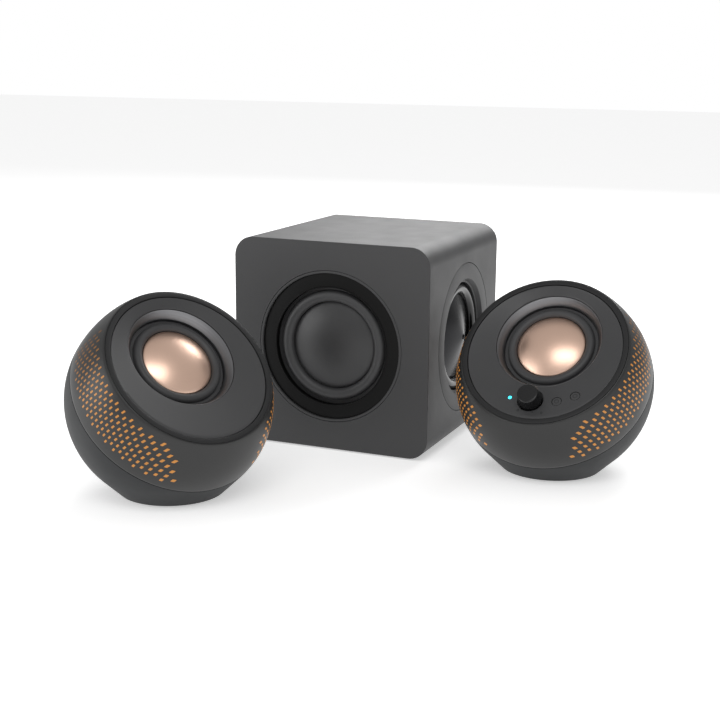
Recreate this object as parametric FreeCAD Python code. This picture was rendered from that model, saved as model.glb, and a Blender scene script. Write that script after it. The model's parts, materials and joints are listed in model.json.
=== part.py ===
import FreeCAD, Part
import math
import os

from FreeCAD import Vector

# A set of desktop speakers: a cube bass cabinet and two round satellites that look up at the listener.
# Millimetres. +Z is up, the bass driver faces -Y, and the origin is on the desk under the middle
# of the footprint of the whole set.

# ---------------------------------------------------------------- driving dimensions

# Where the three cabinets stand, and how far each satellite is turned from facing -Y.
BASS_X = -51.45
BASS_Y = 96.87
LEFT_X = BASS_X - 54.2
LEFT_Y = BASS_Y - 202.0
LEFT_YAW = 64.4
RIGHT_X = BASS_X + 157.1
RIGHT_Y = BASS_Y - 49.0
RIGHT_YAW = -3.7
FOOT_PROUD = 0.8           # rubber pads lift every cabinet by this much
GAP = 0.3                  # free space between curved faces of pieces that move against each other

# Bass cabinet.
CUBE = 150.0
CUBE_CORNER = 14.2         # the four front-to-back edges
CUBE_EDGE = 0.5            # chamfer of the front and back outlines
FRONT_WALL = 9.0
SIDE_WALL = 6.0
CUBE_MID = FOOT_PROUD + CUBE / 2
BASS_FOOT_R = 9.0
FOOT_SUNK = 1.0            # how deep a rubber pad sits in its recess

# Bass driver, front face at height 0 and everything else below it.
TRIM_R = 54.6
TRIM_LIP_R = 52.8
TRIM_DEPTH = 6.4
TRIM_FACE = -1.6
TRIM_BEAD_R = 43.3
TRIM_HOLE_R = 42.4
BASS_HOLE_R = 44.5
BASS_ROLL_OUT = 40.1
BASS_CONE_R = 31.3
BASS_CONE_Z = -8.2
BASS_CONE_RISE = 7.0
BASS_SEAT = -7.9           # top of the flange of the rubber roll
BASS_FRAME_FLOOR = -34.0
BASS_FRAME_WALL = 2.0
BASS_COIL_IN = 16.3
BASS_COIL_OUT = 17.1

# Passive radiators in the two sides.
SIDE_RING_R = 54.6
SIDE_MOUTH_R = 43.0
SIDE_STEP_R = 41.4
SIDE_BARREL_R = 40.2
SIDE_HOLE_R = 47.5
SIDE_ROLL_OUT = 39.6
DISH_R = 31.0
DISH_Z = -7.8
DISH_RISE = 7.2
SIDE_SEAT = -7.5

# Back of the bass cabinet, as (across, down) from its middle, seen from the front of the set.
PANEL = 116.0
PANEL_LEDGE = 7.0
PANEL_WALL = 3.0
POWER_AT = (34.0, -36.0)
SOCKETS_AT = [(-6.0, -36.0), (-26.0, -36.0)]
SOCKET_R = 7.5
SCREW_REACH = (PANEL - PANEL_LEDGE) / 2
SCREW_R = 1.6
SCREW_HEAD = 1.4           # thickness of a screw's sunk head

# Satellite: a sphere on a flat foot, cut by a front plate. N is the height along the plate's
# normal, counted from the sphere's centre, and U the distance up the plate.
BALL_R = 67.2
BALL_FLAT = 60.6           # from the sphere's centre down to the flat of the shell
BALL_MID = FOOT_PROUD + BALL_FLAT
TILT = 43.2                # the plate's normal above the horizon
SHELL_WALL = 2.4
SEAM_N = 0.0                # the two shells meet at the equator
SEAM_GAP = 0.4
SHELL_LOW = SEAM_N + SEAM_GAP / 2
SHELL_TOP = 35.0
SHELL_FLARE = 2.82         # how far the shell stands outside the sphere at the rim
SKIRT_TOP = 49.0           # depth below the centre where the cone of the foot leaves the sphere
FOOT_R = 28.5
RIM_N = 35.4
RIM_R = 56.0
RIM_HOLE_R = 52.6
RIM_SEAT = 32.4
RIM_BARREL_R = 54.4
RIM_U = 3.3                # the rim and plate sit this much above the sphere's centre line
PLATE_EDGE_N = 34.9
PLATE_BACK_N = 28.9
DRIVER_U = 13.0            # the driver sits higher still
BEVEL_R = 36.0
BEVEL_N = 31.9
BEVEL_HOLE_R = 32.2
BEVEL_HOLE_N = 25.4
ROLL_OUT = 29.8
CONE_R = 23.2
CONE_N = 24.6
CONE_RISE = 6.4
SEAT_N = 23.4              # top of the flange of the rubber roll
FRAME_TOP = 22.4
FRAME_FLOOR = 6.0
FRAME_WALL = 1.6
COIL_IN = 12.3
COIL_OUT = 12.9
GUIDE_LEVELS = (4.5, 11.0, 18.0, 24.5)
GUIDE_GAP = 0.4
GUIDE_WALL = 2.0

# Sockets low in the back of a satellite.
INLET_Z = -22.0
INLET_FACE = 60.5          # distance back from the upright axis to the inlet's face
INLET_R = 8.4
PORT_BODY_R = 5.4
PORT_BEAD_R = 6.8
JACK_R = 1.8
JACK_SWING = 24.0          # the jack sits this far round the back

# Controls on the right plate, as (across, up the plate).
KNOB_AT = (0.4, -34.5)
BUTTON_AT = {"power_button": (17.9, -33.0), "mode_button": (29.0, -27.4)}
LIGHT_AT = (-13.9, -34.4)
KNOB_R = 8.0
KNOB_TOP_R = 6.9
KNOB_WELL_R = 8.8
KNOB_WELL_N = 30.6
KNOB_RISE = 9.6
SHAFT_R = 3.0
BUTTON_R = 3.1
BUTTON_FOOT_N = 27.4
LIGHT_R = 1.25
BOARD_TOP = 24.2

AXIS = Vector(0, 0, 1)
ORIGIN = Vector(0, 0, 0)
FAR = 400.0                # longer than anything here


# ---------------------------------------------------------------- shape helpers

def turned(points):
    """A solid turned about Z from a closed outline of (radius, height) points."""
    corners = [Vector(r, 0, z) for r, z in points]
    outline = Part.makePolygon(corners + corners[:1])
    return Part.Face(outline).revolve(ORIGIN, AXIS, 360)


def turned_edges(edges):
    """A solid turned about Z from a closed outline of lines and arcs."""
    return Part.Face(Part.Wire(edges)).revolve(ORIGIN, AXIS, 360)


def line(start, end):
    return Part.makeLine(Vector(start[0], 0, start[1]), Vector(end[0], 0, end[1]))


def arc(start, middle, end):
    points = [Vector(r, 0, z) for r, z in (start, middle, end)]
    return Part.Arc(*points).toShape()


def rod(radius, low, high, x=0.0, y=0.0):
    """A round rod along Z."""
    return Part.makeCylinder(radius, high - low, Vector(x, y, low))


def tube(inner, outer, low, high):
    return rod(outer, low, high).cut(rod(inner, low, high))


def block(width, depth, low, high, x=0.0, y=0.0):
    """A box centred on (x, y) between two heights."""
    return Part.makeBox(width, depth, high - low, Vector(x - width / 2, y - depth / 2, low))


def turn(shape, axis, angle):
    turned_shape = shape.copy()
    turned_shape.rotate(ORIGIN, axis, angle)
    return turned_shape


def moved(shape, x, y, z):
    moved_shape = shape.copy()
    moved_shape.translate(Vector(x, y, z))
    return moved_shape


def circle(radius, up, height):
    """A circular wire around Z, moved up the plate."""
    return Part.Wire(Part.makeCircle(radius, Vector(0, up, height), AXIS))


# ---------------------------------------------------------------- parts every driver has

def roll_surround(inner, outer, flange, seat, rise, wall):
    """A rubber half roll between a cone's edge and its frame, with the flange it is glued by."""
    middle = (inner + outer) / 2
    return turned_edges([
        arc((inner, seat), (middle, seat + rise), (outer, seat)),
        line((outer, seat), (flange, seat)),
        line((flange, seat), (flange, seat - wall)),
        line((flange, seat - wall), (outer - wall, seat - wall)),
        arc((outer - wall, seat - wall), (middle, seat + rise - wall), (inner + wall, seat - wall)),
        line((inner + wall, seat - wall), (inner, seat - wall)),
        line((inner, seat - wall), (inner, seat)),
    ])


def domed_cone(radius, edge, rise, wall):
    """A smooth dome, part of a sphere, of an even thickness."""
    ball = (radius ** 2 + rise ** 2) / (2 * rise)
    half = radius / 2
    crown = edge + rise
    shoulder = crown - ball + math.sqrt(ball ** 2 - half ** 2)
    return turned_edges([
        arc((radius, edge), (half, shoulder), (0, crown)),
        line((0, crown), (0, crown - wall)),
        arc((0, crown - wall), (half, shoulder - wall), (radius, edge - wall)),
        line((radius, edge - wall), (radius, edge)),
    ])


def driver_frame(hole, flange, top, thickness, floor_r, floor, bore, wall, window):
    """A cast frame: a flange, a cone with four windows, and a floor that carries the magnet."""
    frame = turned([
        (hole, top),
        (flange, top),
        (flange, top - thickness),
        (hole + wall, top - thickness),
        (floor_r, floor),
        (floor_r, floor - wall),
        (bore, floor - wall),
        (bore, floor),
        (floor_r - wall, floor),
        (hole, top - thickness),
    ])
    margin = 2.0
    for angle in (45, 135):
        slot = block(FAR, window, floor + margin, top - thickness - margin)
        frame = frame.cut(turn(slot, AXIS, angle))
    return frame


def magnet(radius, gap_in, gap_out, top, bottom, back):
    """Pole piece, back plate and ring magnet, with the round gap for the voice coil."""
    return turned([
        (0, top),
        (gap_in, top),
        (gap_in, bottom + back),
        (gap_out, bottom + back),
        (gap_out, top),
        (radius, top),
        (radius, bottom),
        (0, bottom),
    ])


def spider(inner, outer, height, waves):
    """The corrugated cloth disc that centres the voice coil."""
    swing = 0.8
    cloth = 0.5
    steps = 2 * waves
    pitch = (outer - inner) / steps
    crest = [(inner + i * pitch, height + swing * (i % 2)) for i in range(steps + 1)]
    under = [(r, z - cloth) for r, z in reversed(crest)]
    return turned(crest + under)


# ---------------------------------------------------------------- bass cabinet

def bass_cabinet():
    """Hollow cube with openings for the driver, the two side radiators and the rear panel."""
    half = CUBE / 2
    inside = half - SIDE_WALL
    cube = block(CUBE, CUBE, -half, half)
    long_edges = [e for e in cube.Edges if abs(e.tangentAt(e.FirstParameter).y) > 0.99]
    cube = cube.makeFillet(CUBE_CORNER, long_edges)
    outlines = [e for e in cube.Edges if e.BoundBox.YLength < 0.01]
    cube = cube.makeChamfer(CUBE_EDGE, outlines)
    front_inside = FRONT_WALL - half
    room = Part.makeBox(2 * inside, inside - front_inside, 2 * inside,
                        Vector(-inside, front_inside, -inside))
    cube = cube.cut(room)
    front_cuts = rod(TRIM_R + GAP, -TRIM_DEPTH, 1).fuse(rod(BASS_HOLE_R, -FRONT_WALL - 1, 1))
    cube = cube.cut(to_front(front_cuts))
    side_cuts = rod(SIDE_RING_R + GAP, -4.0, 1).fuse(rod(SIDE_HOLE_R, -SIDE_WALL - 1, 1))
    for side in (-1, 1):
        cube = cube.cut(to_side(side_cuts, side))
    opening = block(PANEL - 2 * PANEL_LEDGE, PANEL - 2 * PANEL_LEDGE, -SIDE_WALL - 1, 1)
    recess = block(PANEL + 2 * GAP, PANEL + 2 * GAP, -PANEL_WALL, 1)
    cube = cube.cut(to_back(opening.fuse(recess)))
    for x, y in screw_places():
        cube = cube.cut(to_back(rod(SCREW_R + 0.05, -SIDE_WALL - 1, 0, x, y)))
    for x, y in foot_places():
        cube = cube.cut(rod(BASS_FOOT_R + GAP, -half - 1, -half + FOOT_SUNK, x, y))
    return cube


def to_front(shape):
    """From lying under its own face to the front of the cube."""
    return moved(turn(shape, Vector(1, 0, 0), 90), 0, -CUBE / 2, 0)


def to_back(shape):
    return moved(turn(shape, Vector(1, 0, 0), -90), 0, CUBE / 2, 0)


def to_side(shape, side):
    return moved(turn(shape, Vector(0, 1, 0), 90 * side), side * CUBE / 2, 0, 0)


def foot_places():
    reach = CUBE / 2 - 23.0
    return [(x, y) for x in (-reach, reach) for y in (-reach, reach)]


def bass_feet():
    low = -CUBE / 2 - FOOT_PROUD
    pads = [rod(BASS_FOOT_R, low, low + FOOT_PROUD + FOOT_SUNK, x, y) for x, y in foot_places()]
    return Part.makeCompound(pads)


def bass_trim_ring():
    """Sunk black ring with a thin raised lip outside and a fine bead round its hole."""
    soft = 0.4
    return turned([
        (TRIM_R, -soft),
        (TRIM_R - soft, 0),
        (TRIM_LIP_R + soft, 0),
        (TRIM_LIP_R, -soft),
        (TRIM_LIP_R, TRIM_FACE),
        (TRIM_BEAD_R, TRIM_FACE - 0.5),
        (TRIM_BEAD_R - 0.3, TRIM_FACE),
        (TRIM_HOLE_R, TRIM_FACE - 0.3),
        (TRIM_HOLE_R, -TRIM_DEPTH + 0.8),
        (BASS_HOLE_R - 0.4, -TRIM_DEPTH),
        (TRIM_R, -TRIM_DEPTH),
    ])


def bass_frame():
    return driver_frame(BASS_ROLL_OUT, 51.0, -FRONT_WALL, 2.5, 31.0, BASS_FRAME_FLOOR,
                        18.5, BASS_FRAME_WALL, 34.0)


def bass_magnet():
    top = BASS_FRAME_FLOOR - BASS_FRAME_WALL
    return magnet(33.0, BASS_COIL_IN - 0.5, BASS_COIL_OUT + 0.5, top, top - 20.0, 5.0)


def bass_surround():
    return roll_surround(BASS_CONE_R + GAP, BASS_ROLL_OUT, BASS_HOLE_R - GAP, BASS_SEAT, 4.2, 1.1)


def bass_cone():
    return domed_cone(BASS_CONE_R, BASS_CONE_Z, BASS_CONE_RISE, 0.8)


def bass_coil():
    return tube(BASS_COIL_IN, BASS_COIL_OUT, -45.0, -4.5)


def bass_spider():
    return spider(BASS_COIL_OUT + GAP, 32.0, -25.0, 4)


# ---------------------------------------------------------------- passive radiators

def side_ring():
    """Flush ring whose mouth steps down to the rubber roll."""
    return turned([
        (SIDE_RING_R, 0),
        (SIDE_MOUTH_R + 0.5, 0),
        (SIDE_MOUTH_R, -0.5),
        (SIDE_STEP_R, -3.4),
        (SIDE_BARREL_R, -3.6),
        (SIDE_BARREL_R, -7.4),
        (SIDE_HOLE_R - GAP, -7.4),
        (SIDE_HOLE_R - GAP, -3.9),
        (SIDE_RING_R, -3.9),
    ])


def side_frame():
    """Ring that clamps the rubber against the inside of the wall."""
    grip = SIDE_HOLE_R - GAP
    return turned([
        (SIDE_ROLL_OUT, -8.6),
        (grip, -8.6),
        (grip, -SIDE_WALL - 0.1),
        (52.5, -SIDE_WALL - 0.1),
        (52.5, -11.0),
        (SIDE_ROLL_OUT, -11.0),
    ])


def side_surround():
    return roll_surround(DISH_R + GAP, SIDE_ROLL_OUT, SIDE_HOLE_R - 2 * GAP, SIDE_SEAT, 4.0, 1.0)


def side_dish():
    """Spun shallow cone with a dimple in the middle and the tuning weight behind it."""
    tip = DISH_Z + DISH_RISE
    wall = 1.0
    dimple_r = 2.2
    dimple = 0.9
    weight_r = 11.0
    weight = 5.0
    return turned([
        (DISH_R, DISH_Z),
        (dimple_r, tip),
        (dimple_r / 2, tip - dimple),
        (0, tip - dimple),
        (0, DISH_Z - weight),
        (weight_r, DISH_Z - weight),
        (weight_r, DISH_Z + DISH_RISE * (1 - weight_r / DISH_R) - wall),
        (DISH_R, DISH_Z - wall),
    ])


# ---------------------------------------------------------------- back of the bass cabinet

def screw_places():
    steps = (-SCREW_REACH, 0.0, SCREW_REACH)
    return [(x, y) for x in steps for y in steps if (x, y) != (0.0, 0.0)]


def rear_panel():
    """Metal plate with upright cooling grooves, and holes for the sockets and screws."""
    groove_depth = 2.0
    groove_length = 52.0
    groove_up = 18.0
    groove_count = 11
    pitch = 6.4
    panel = block(PANEL, PANEL, -PANEL_WALL, 0)
    for i in range(groove_count):
        x = (i - (groove_count - 1) / 2) * pitch
        panel = panel.cut(block(pitch / 2, groove_length, -groove_depth, 1, x, groove_up))
    for x, y in SOCKETS_AT + [POWER_AT]:
        panel = panel.cut(rod(SOCKET_R + 0.05, -FAR, 1, x, y))
    for x, y in screw_places():
        panel = panel.cut(rod(SCREW_R + 0.2, -FAR, 1, x, y))
        panel = panel.cut(rod(2 * SCREW_R + 0.2, -SCREW_HEAD, 1, x, y))
    return panel


def panel_screws():
    """Countersunk-flush screws with a cross slot."""
    screws = []
    for x, y in screw_places():
        head = rod(2 * SCREW_R, -SCREW_HEAD, -0.2, x, y)
        screw = head.fuse(rod(SCREW_R, -SIDE_WALL, -SCREW_HEAD, x, y))
        for width, depth in ((0.7, 3.6), (3.6, 0.7)):
            screw = screw.cut(block(width, depth, -0.9, 1, x, y))
        screws.append(screw)
    return Part.makeCompound(screws)


def power_inlet():
    """Round low-voltage inlet with its centre pin."""
    x, y = POWER_AT
    shell = rod(SOCKET_R, -12.0, -0.3, x, y).cut(rod(3.0, -9.5, 1, x, y))
    return shell.fuse(rod(1.0, -10.0, -1.5, x, y))


def satellite_sockets():
    """Two round sockets, each with a keyed centre block."""
    sockets = []
    for x, y in SOCKETS_AT:
        shell = rod(SOCKET_R, -12.0, -0.3, x, y).cut(rod(4.6, -8.0, 1, x, y))
        key = rod(2.6, -9.0, -1.2, x, y).cut(block(1.6, 1.6, -3.0, 0, x, y + 2.2))
        sockets.append(shell.fuse(key))
    return Part.makeCompound(sockets)


def amplifier_board():
    """Circuit board with its heat sink, two capacitors and a coil, upright behind the panel."""
    front = -14.0
    back = -12.4
    board = block(100.0, 96.0, front, back, 0, 1.0)
    sink = block(50.0, 30.0, back, -6.6, 0, 26.0)
    coil = rod(8.0, front - 11.0, front, 24.0, 2.0)
    parts = [sink, coil]
    for x in (-30.0, -12.0):
        parts.append(rod(6.0, front - 16.0, front, x, 2.0))
    for part in parts:
        board = board.fuse(part)
    return board


# ---------------------------------------------------------------- satellite, round its driver

def shell_share(n):
    """How much of the change from the sphere to the rim the front shell has made at a height."""
    return ((n - SEAM_N) / (RIM_N - SEAM_N)) ** 2


def shell_rings(levels, inset):
    """Sections of the front shell, smaller all round by inset."""
    rings = []
    for n in levels:
        up = RIM_U * shell_share(n)
        radius = math.sqrt(BALL_R ** 2 - n ** 2) - up + SHELL_FLARE * shell_share(n)
        rings.append(circle(radius - inset, up, n))
    return rings


def front_shell():
    """Thin shell whose flanks flow from the sphere's seam to the raised rim."""
    seam_turn = 40.0                # keeps the pocket's seam off the shell's
    outside = Part.makeLoft(shell_rings((SHELL_LOW, 10.0, 18.0, 26.0, 31.0, SHELL_TOP), 0), True)
    mouth = circle(RIM_BARREL_R + 0.2, RIM_U, RIM_SEAT + 1)
    inside = Part.makeLoft(shell_rings((SHELL_LOW, 10.0, 18.0, 26.0), SHELL_WALL) + [mouth], True)
    pocket = moved(turn(rod(RIM_R + 0.1, RIM_SEAT, FAR), AXIS, seam_turn), 0, RIM_U, 0)
    return outside.cut(inside.fuse(pocket))


def rim_ring():
    """Dark ring that closes the shell and holds the plate."""
    soft = 0.5
    ledge = 50.0
    ring = turned([
        (RIM_HOLE_R, RIM_N - soft),
        (RIM_HOLE_R + soft, RIM_N),
        (RIM_R - soft, RIM_N),
        (RIM_R, RIM_N - soft),
        (RIM_R, RIM_SEAT),
        (RIM_BARREL_R, RIM_SEAT),
        (RIM_BARREL_R, PLATE_BACK_N - 1.6),
        (ledge, PLATE_BACK_N - 1.6),
        (ledge, PLATE_BACK_N),
        (RIM_HOLE_R, PLATE_BACK_N),
    ])
    return moved(ring, 0, RIM_U, 0)


def over_plate():
    """The space in front of the dished plate."""
    edge_r = RIM_HOLE_R - GAP
    dish = Part.makeLoft([circle(BEVEL_R, DRIVER_U, BEVEL_N), circle(edge_r, RIM_U, PLATE_EDGE_N)],
                         True, True)
    return dish.fuse(rod(edge_r, PLATE_EDGE_N, PLATE_EDGE_N + 30.0, 0, RIM_U))


def plate_height(x, y):
    """How high the dished plate lies at a place on it, found by halving."""
    low, high = 0.0, 1.0
    for _ in range(40):
        t = (low + high) / 2
        radius = BEVEL_R + t * (RIM_HOLE_R - GAP - BEVEL_R)
        up = DRIVER_U + t * (RIM_U - DRIVER_U)
        if math.hypot(x, y - up) > radius:
            low = t
        else:
            high = t
    return BEVEL_N + low * (PLATE_EDGE_N - BEVEL_N)


def front_plate(with_controls):
    plate = rod(RIM_HOLE_R - 0.1, PLATE_BACK_N, PLATE_EDGE_N, 0, RIM_U)
    plate = plate.cut(over_plate())
    plate = plate.cut(rod(BEVEL_R + 0.05, 0, FAR, 0, DRIVER_U))
    if with_controls:
        plate = plate.cut(rod(KNOB_WELL_R, KNOB_WELL_N, FAR, *KNOB_AT))
        plate = plate.cut(rod(SHAFT_R + GAP, 0, FAR, *KNOB_AT))
        plate = plate.cut(rod(LIGHT_R + 0.05, 0, FAR, *LIGHT_AT))
        for place in BUTTON_AT.values():
            plate = plate.cut(rod(BUTTON_R + GAP, 0, FAR, *place))
    return plate


def bevel_ring():
    """Bevelled funnel between the plate and the driver."""
    flange = 37.5
    back = 22.6
    ring = turned([
        (BEVEL_R - 0.1, BEVEL_N),
        (BEVEL_HOLE_R, BEVEL_HOLE_N),
        (BEVEL_HOLE_R, back),
        (flange, back),
        (flange, PLATE_BACK_N - 0.2),
        (BEVEL_R - 0.1, PLATE_BACK_N - 0.2),
    ])
    return moved(ring, 0, DRIVER_U, 0)


def satellite_frame():
    frame = driver_frame(ROLL_OUT, 37.0, FRAME_TOP, 2.0, 24.0, FRAME_FLOOR, 14.2, FRAME_WALL, 24.0)
    return moved(frame, 0, DRIVER_U, 0)


def satellite_magnet():
    top = FRAME_FLOOR - FRAME_WALL
    body = magnet(25.0, COIL_IN - 0.5, COIL_OUT + 0.5, top, top - 15.0, 4.0)
    return moved(body, 0, DRIVER_U, 0)


def satellite_surround():
    surround = roll_surround(CONE_R + GAP, ROLL_OUT, BEVEL_HOLE_R - GAP, SEAT_N, 3.2, 1.0)
    return moved(surround, 0, DRIVER_U, 0)


def satellite_cone():
    return moved(domed_cone(CONE_R, CONE_N, CONE_RISE, 0.7), 0, DRIVER_U, 0)


def satellite_coil():
    return moved(tube(COIL_IN, COIL_OUT, -3.5, 28.0), 0, DRIVER_U, 0)


def light_guide():
    """Two clear crescents behind the small openings in the flanks of the front shell."""
    outside = Part.makeLoft(shell_rings(GUIDE_LEVELS, SHELL_WALL + GUIDE_GAP), True)
    inside = Part.makeLoft(shell_rings(GUIDE_LEVELS, SHELL_WALL + GUIDE_GAP + GUIDE_WALL), True)
    band = outside.cut(inside)
    front = block(30.0, FAR, -FAR, FAR, 0, -FAR / 2)
    top = block(96.0, FAR, -FAR, FAR, 0, FAR / 2)
    return band.cut(front).cut(top)


# ---------------------------------------------------------------- satellite, upright pieces

def tilted(shape):
    """From facing up to facing forward and up, about the sphere's centre."""
    return turn(shape, Vector(1, 0, 0), 90 - TILT)


def ball_with_skirt(inset):
    """Sphere whose lower part runs straight down to a wide foot, all smaller by inset."""
    radius = BALL_R - inset
    top = SKIRT_TOP * radius / BALL_R
    top_r = math.sqrt(radius ** 2 - top ** 2)
    drop = BALL_FLAT - top
    slope = top / top_r
    skirt = Part.makeCone(top_r - drop * slope, top_r, drop, Vector(0, 0, -BALL_FLAT))
    return Part.makeSphere(radius).fuse(skirt)


def rear_port(radius, low, high):
    """A rod that points backwards at the height of the inlets."""
    return moved(turn(rod(radius, low, high), Vector(1, 0, 0), -90), 0, 0, INLET_Z)


def rear_shell(port_angles):
    """Dark back half: a thin shell with a flat foot, sunk ports and a locating lip."""
    behind = tilted(block(FAR, FAR, -FAR, SEAM_N - SEAM_GAP / 2))
    above = block(FAR, FAR, -BALL_FLAT, FAR)
    room = block(FAR, FAR, -BALL_FLAT + 2 * SHELL_WALL, FAR)
    outside = ball_with_skirt(0).common(above)
    shell = outside.cut(ball_with_skirt(SHELL_WALL).common(room))
    lip_in = BALL_R - SHELL_WALL - 1.5
    lip_out = BALL_R - SHELL_WALL - 0.4
    lip_root = BALL_R - SHELL_WALL + 0.5
    lip = turned([
        (lip_in, SEAM_N - 5.0),
        (lip_root, SEAM_N - 5.0),
        (lip_root, SEAM_N - SEAM_GAP),
        (lip_out, SEAM_N - SEAM_GAP),
        (lip_out, SEAM_N + 3.6),
        (lip_in, SEAM_N + 3.6),
    ])
    shell = shell.common(behind)
    for angle in port_angles:
        boss = turn(rear_port(INLET_R + 2.0, INLET_FACE - 4.0, INLET_FACE + 3.0), AXIS, angle)
        shell = shell.fuse(boss.common(outside))
    shell = shell.fuse(tilted(lip))
    for angle in port_angles:
        shell = shell.cut(turn(rear_port(INLET_R, INLET_FACE, FAR), AXIS, angle))
        shell = shell.cut(turn(rear_port(PORT_BODY_R + 0.05, 0, FAR), AXIS, angle))
    return shell.cut(rod(FOOT_R + GAP, -FAR, -BALL_FLAT + FOOT_SUNK))


def port_bush():
    """Round body of a socket, with a raised bead on the inlet's face."""
    body = rear_port(PORT_BODY_R, INLET_FACE - 10.0, INLET_FACE + 0.4)
    return body.fuse(rear_port(PORT_BEAD_R, INLET_FACE, INLET_FACE + 1.2))


def cable_inlet():
    """Flat oval socket in a round bush."""
    depth = 6.0
    half_width = 3.0
    end_r = 1.5
    start = INLET_FACE - depth
    corner = Vector(-half_width, start, INLET_Z - end_r)
    slot = Part.makeBox(2 * half_width, 2 * depth, 2 * end_r, corner)
    for x in (-half_width, half_width):
        slot = slot.fuse(moved(rear_port(end_r, start, INLET_FACE + depth), x, 0, 0))
    return port_bush().cut(slot)


def line_jack():
    """Round 3.5 mm jack in a bush like the inlet's."""
    bush = port_bush().cut(rear_port(JACK_R, INLET_FACE - 8.0, FAR))
    return turn(bush, AXIS, JACK_SWING)


def foot_pad():
    return rod(FOOT_R, -BALL_FLAT - FOOT_PROUD, -BALL_FLAT + FOOT_SUNK)


def foot_weight():
    """Steel disc on the floor of the shell that keeps the ball from rolling."""
    floor = -BALL_FLAT + 2 * SHELL_WALL
    return rod(24.0, floor, floor + 6.0)


# ---------------------------------------------------------------- controls of the right satellite

def volume_knob():
    """Tapered knob with a soft top edge, sunk in its well, on a round shaft."""
    low = KNOB_WELL_N + 0.5
    high = plate_height(*KNOB_AT) + KNOB_RISE
    soft = 0.9
    skirt = low + 2.4
    knob = turned_edges([
        line((0, BOARD_TOP + 0.8), (SHAFT_R, BOARD_TOP + 0.8)),
        line((SHAFT_R, BOARD_TOP + 0.8), (SHAFT_R, low)),
        line((SHAFT_R, low), (KNOB_R, low)),
        line((KNOB_R, low), (KNOB_R, skirt)),
        line((KNOB_R, skirt), (KNOB_TOP_R, high - soft)),
        arc((KNOB_TOP_R, high - soft), (KNOB_TOP_R - 0.3 * soft, high - 0.3 * soft),
            (KNOB_TOP_R - soft, high)),
        line((KNOB_TOP_R - soft, high), (0, high)),
        line((0, high), (0, BOARD_TOP + 0.8)),
    ])
    return moved(knob, KNOB_AT[0], KNOB_AT[1], 0)


def knob_encoder():
    """Rotary encoder on the board, with the bore that the shaft turns in."""
    body = block(12.0, 12.0, BOARD_TOP, PLATE_BACK_N - 0.2, *KNOB_AT)
    return body.cut(rod(SHAFT_R + 0.06, BOARD_TOP + 0.5, FAR, *KNOB_AT))


def push_button(place):
    """Round cap, flush with the plate, with a flange that keeps it in."""
    cap = rod(BUTTON_R, BUTTON_FOOT_N, 40.0, *place).cut(over_plate())
    return cap.fuse(rod(BUTTON_R + 1.1, BUTTON_FOOT_N, BUTTON_FOOT_N + 1.0, *place))


def status_light():
    """Clear lens over the light, a hair proud of the plate."""
    top = plate_height(*LIGHT_AT) + 0.1
    return rod(LIGHT_R, BOARD_TOP + 1.6, top, *LIGHT_AT)


def control_board():
    """Board behind the plate with a switch under each button and the light's chip."""
    board = block(54.0, 15.0, BOARD_TOP - 1.6, BOARD_TOP, 8.0, -33.6)
    switch_top = BUTTON_FOOT_N - 0.8
    for place in BUTTON_AT.values():
        board = board.fuse(block(5.0, 5.0, BOARD_TOP, switch_top, *place))
    board = board.fuse(block(2.4, 2.4, BOARD_TOP, BOARD_TOP + 1.5, *LIGHT_AT))
    return board


# ---------------------------------------------------------------- the set

def place_satellite(shape, x, y, yaw):
    return moved(turn(shape, AXIS, yaw), x, y, BALL_MID)


def bass_pieces():
    pieces = {
        "bass_cabinet": bass_cabinet(),
        "bass_feet": bass_feet(),
        "bass_trim_ring": to_front(bass_trim_ring()),
        "bass_frame": to_front(bass_frame()),
        "bass_magnet": to_front(bass_magnet()),
        "bass_surround": to_front(bass_surround()),
        "bass_spider": to_front(bass_spider()),
        "bass_cone": to_front(bass_cone()),
        "bass_coil": to_front(bass_coil()),
        "rear_panel": to_back(rear_panel()),
        "panel_screws": to_back(panel_screws()),
        "power_inlet": to_back(power_inlet()),
        "satellite_sockets": to_back(satellite_sockets()),
        "amplifier_board": to_back(amplifier_board()),
    }
    for name, side in (("left", -1), ("right", 1)):
        pieces["side_ring_" + name] = to_side(side_ring(), side)
        pieces["side_frame_" + name] = to_side(side_frame(), side)
        pieces["side_surround_" + name] = to_side(side_surround(), side)
        pieces["side_dish_" + name] = to_side(side_dish(), side)
    return {name: moved(shape, BASS_X, BASS_Y, CUBE_MID) for name, shape in pieces.items()}


def satellite_pieces(side, x, y, yaw):
    controls = side == "right"
    ports = (0, JACK_SWING) if controls else (0,)
    pieces = {
        "front_shell_": tilted(front_shell()),
        "rim_ring_": tilted(rim_ring()),
        "front_plate_": tilted(front_plate(controls)),
        "bevel_ring_": tilted(bevel_ring()),
        "frame_": tilted(satellite_frame()),
        "magnet_": tilted(satellite_magnet()),
        "surround_": tilted(satellite_surround()),
        "cone_": tilted(satellite_cone()),
        "coil_": tilted(satellite_coil()),
        "light_guide_": tilted(light_guide()),
        "rear_shell_": rear_shell(ports),
        "cable_inlet_": cable_inlet(),
        "foot_pad_": foot_pad(),
        "foot_weight_": foot_weight(),
    }
    return {name + side: place_satellite(shape, x, y, yaw) for name, shape in pieces.items()}


def control_pieces():
    pieces = {
        "volume_knob": tilted(volume_knob()),
        "knob_encoder": tilted(knob_encoder()),
        "status_light": tilted(status_light()),
        "control_board": tilted(control_board()),
        "line_jack": line_jack(),
    }
    for name, place in BUTTON_AT.items():
        pieces[name] = tilted(push_button(place))
    return {name: place_satellite(shape, RIGHT_X, RIGHT_Y, RIGHT_YAW) for name, shape in pieces.items()}


def all_pieces():
    pieces = bass_pieces()
    pieces.update(satellite_pieces("left", LEFT_X, LEFT_Y, LEFT_YAW))
    pieces.update(satellite_pieces("right", RIGHT_X, RIGHT_Y, RIGHT_YAW))
    pieces.update(control_pieces())
    return pieces


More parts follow.
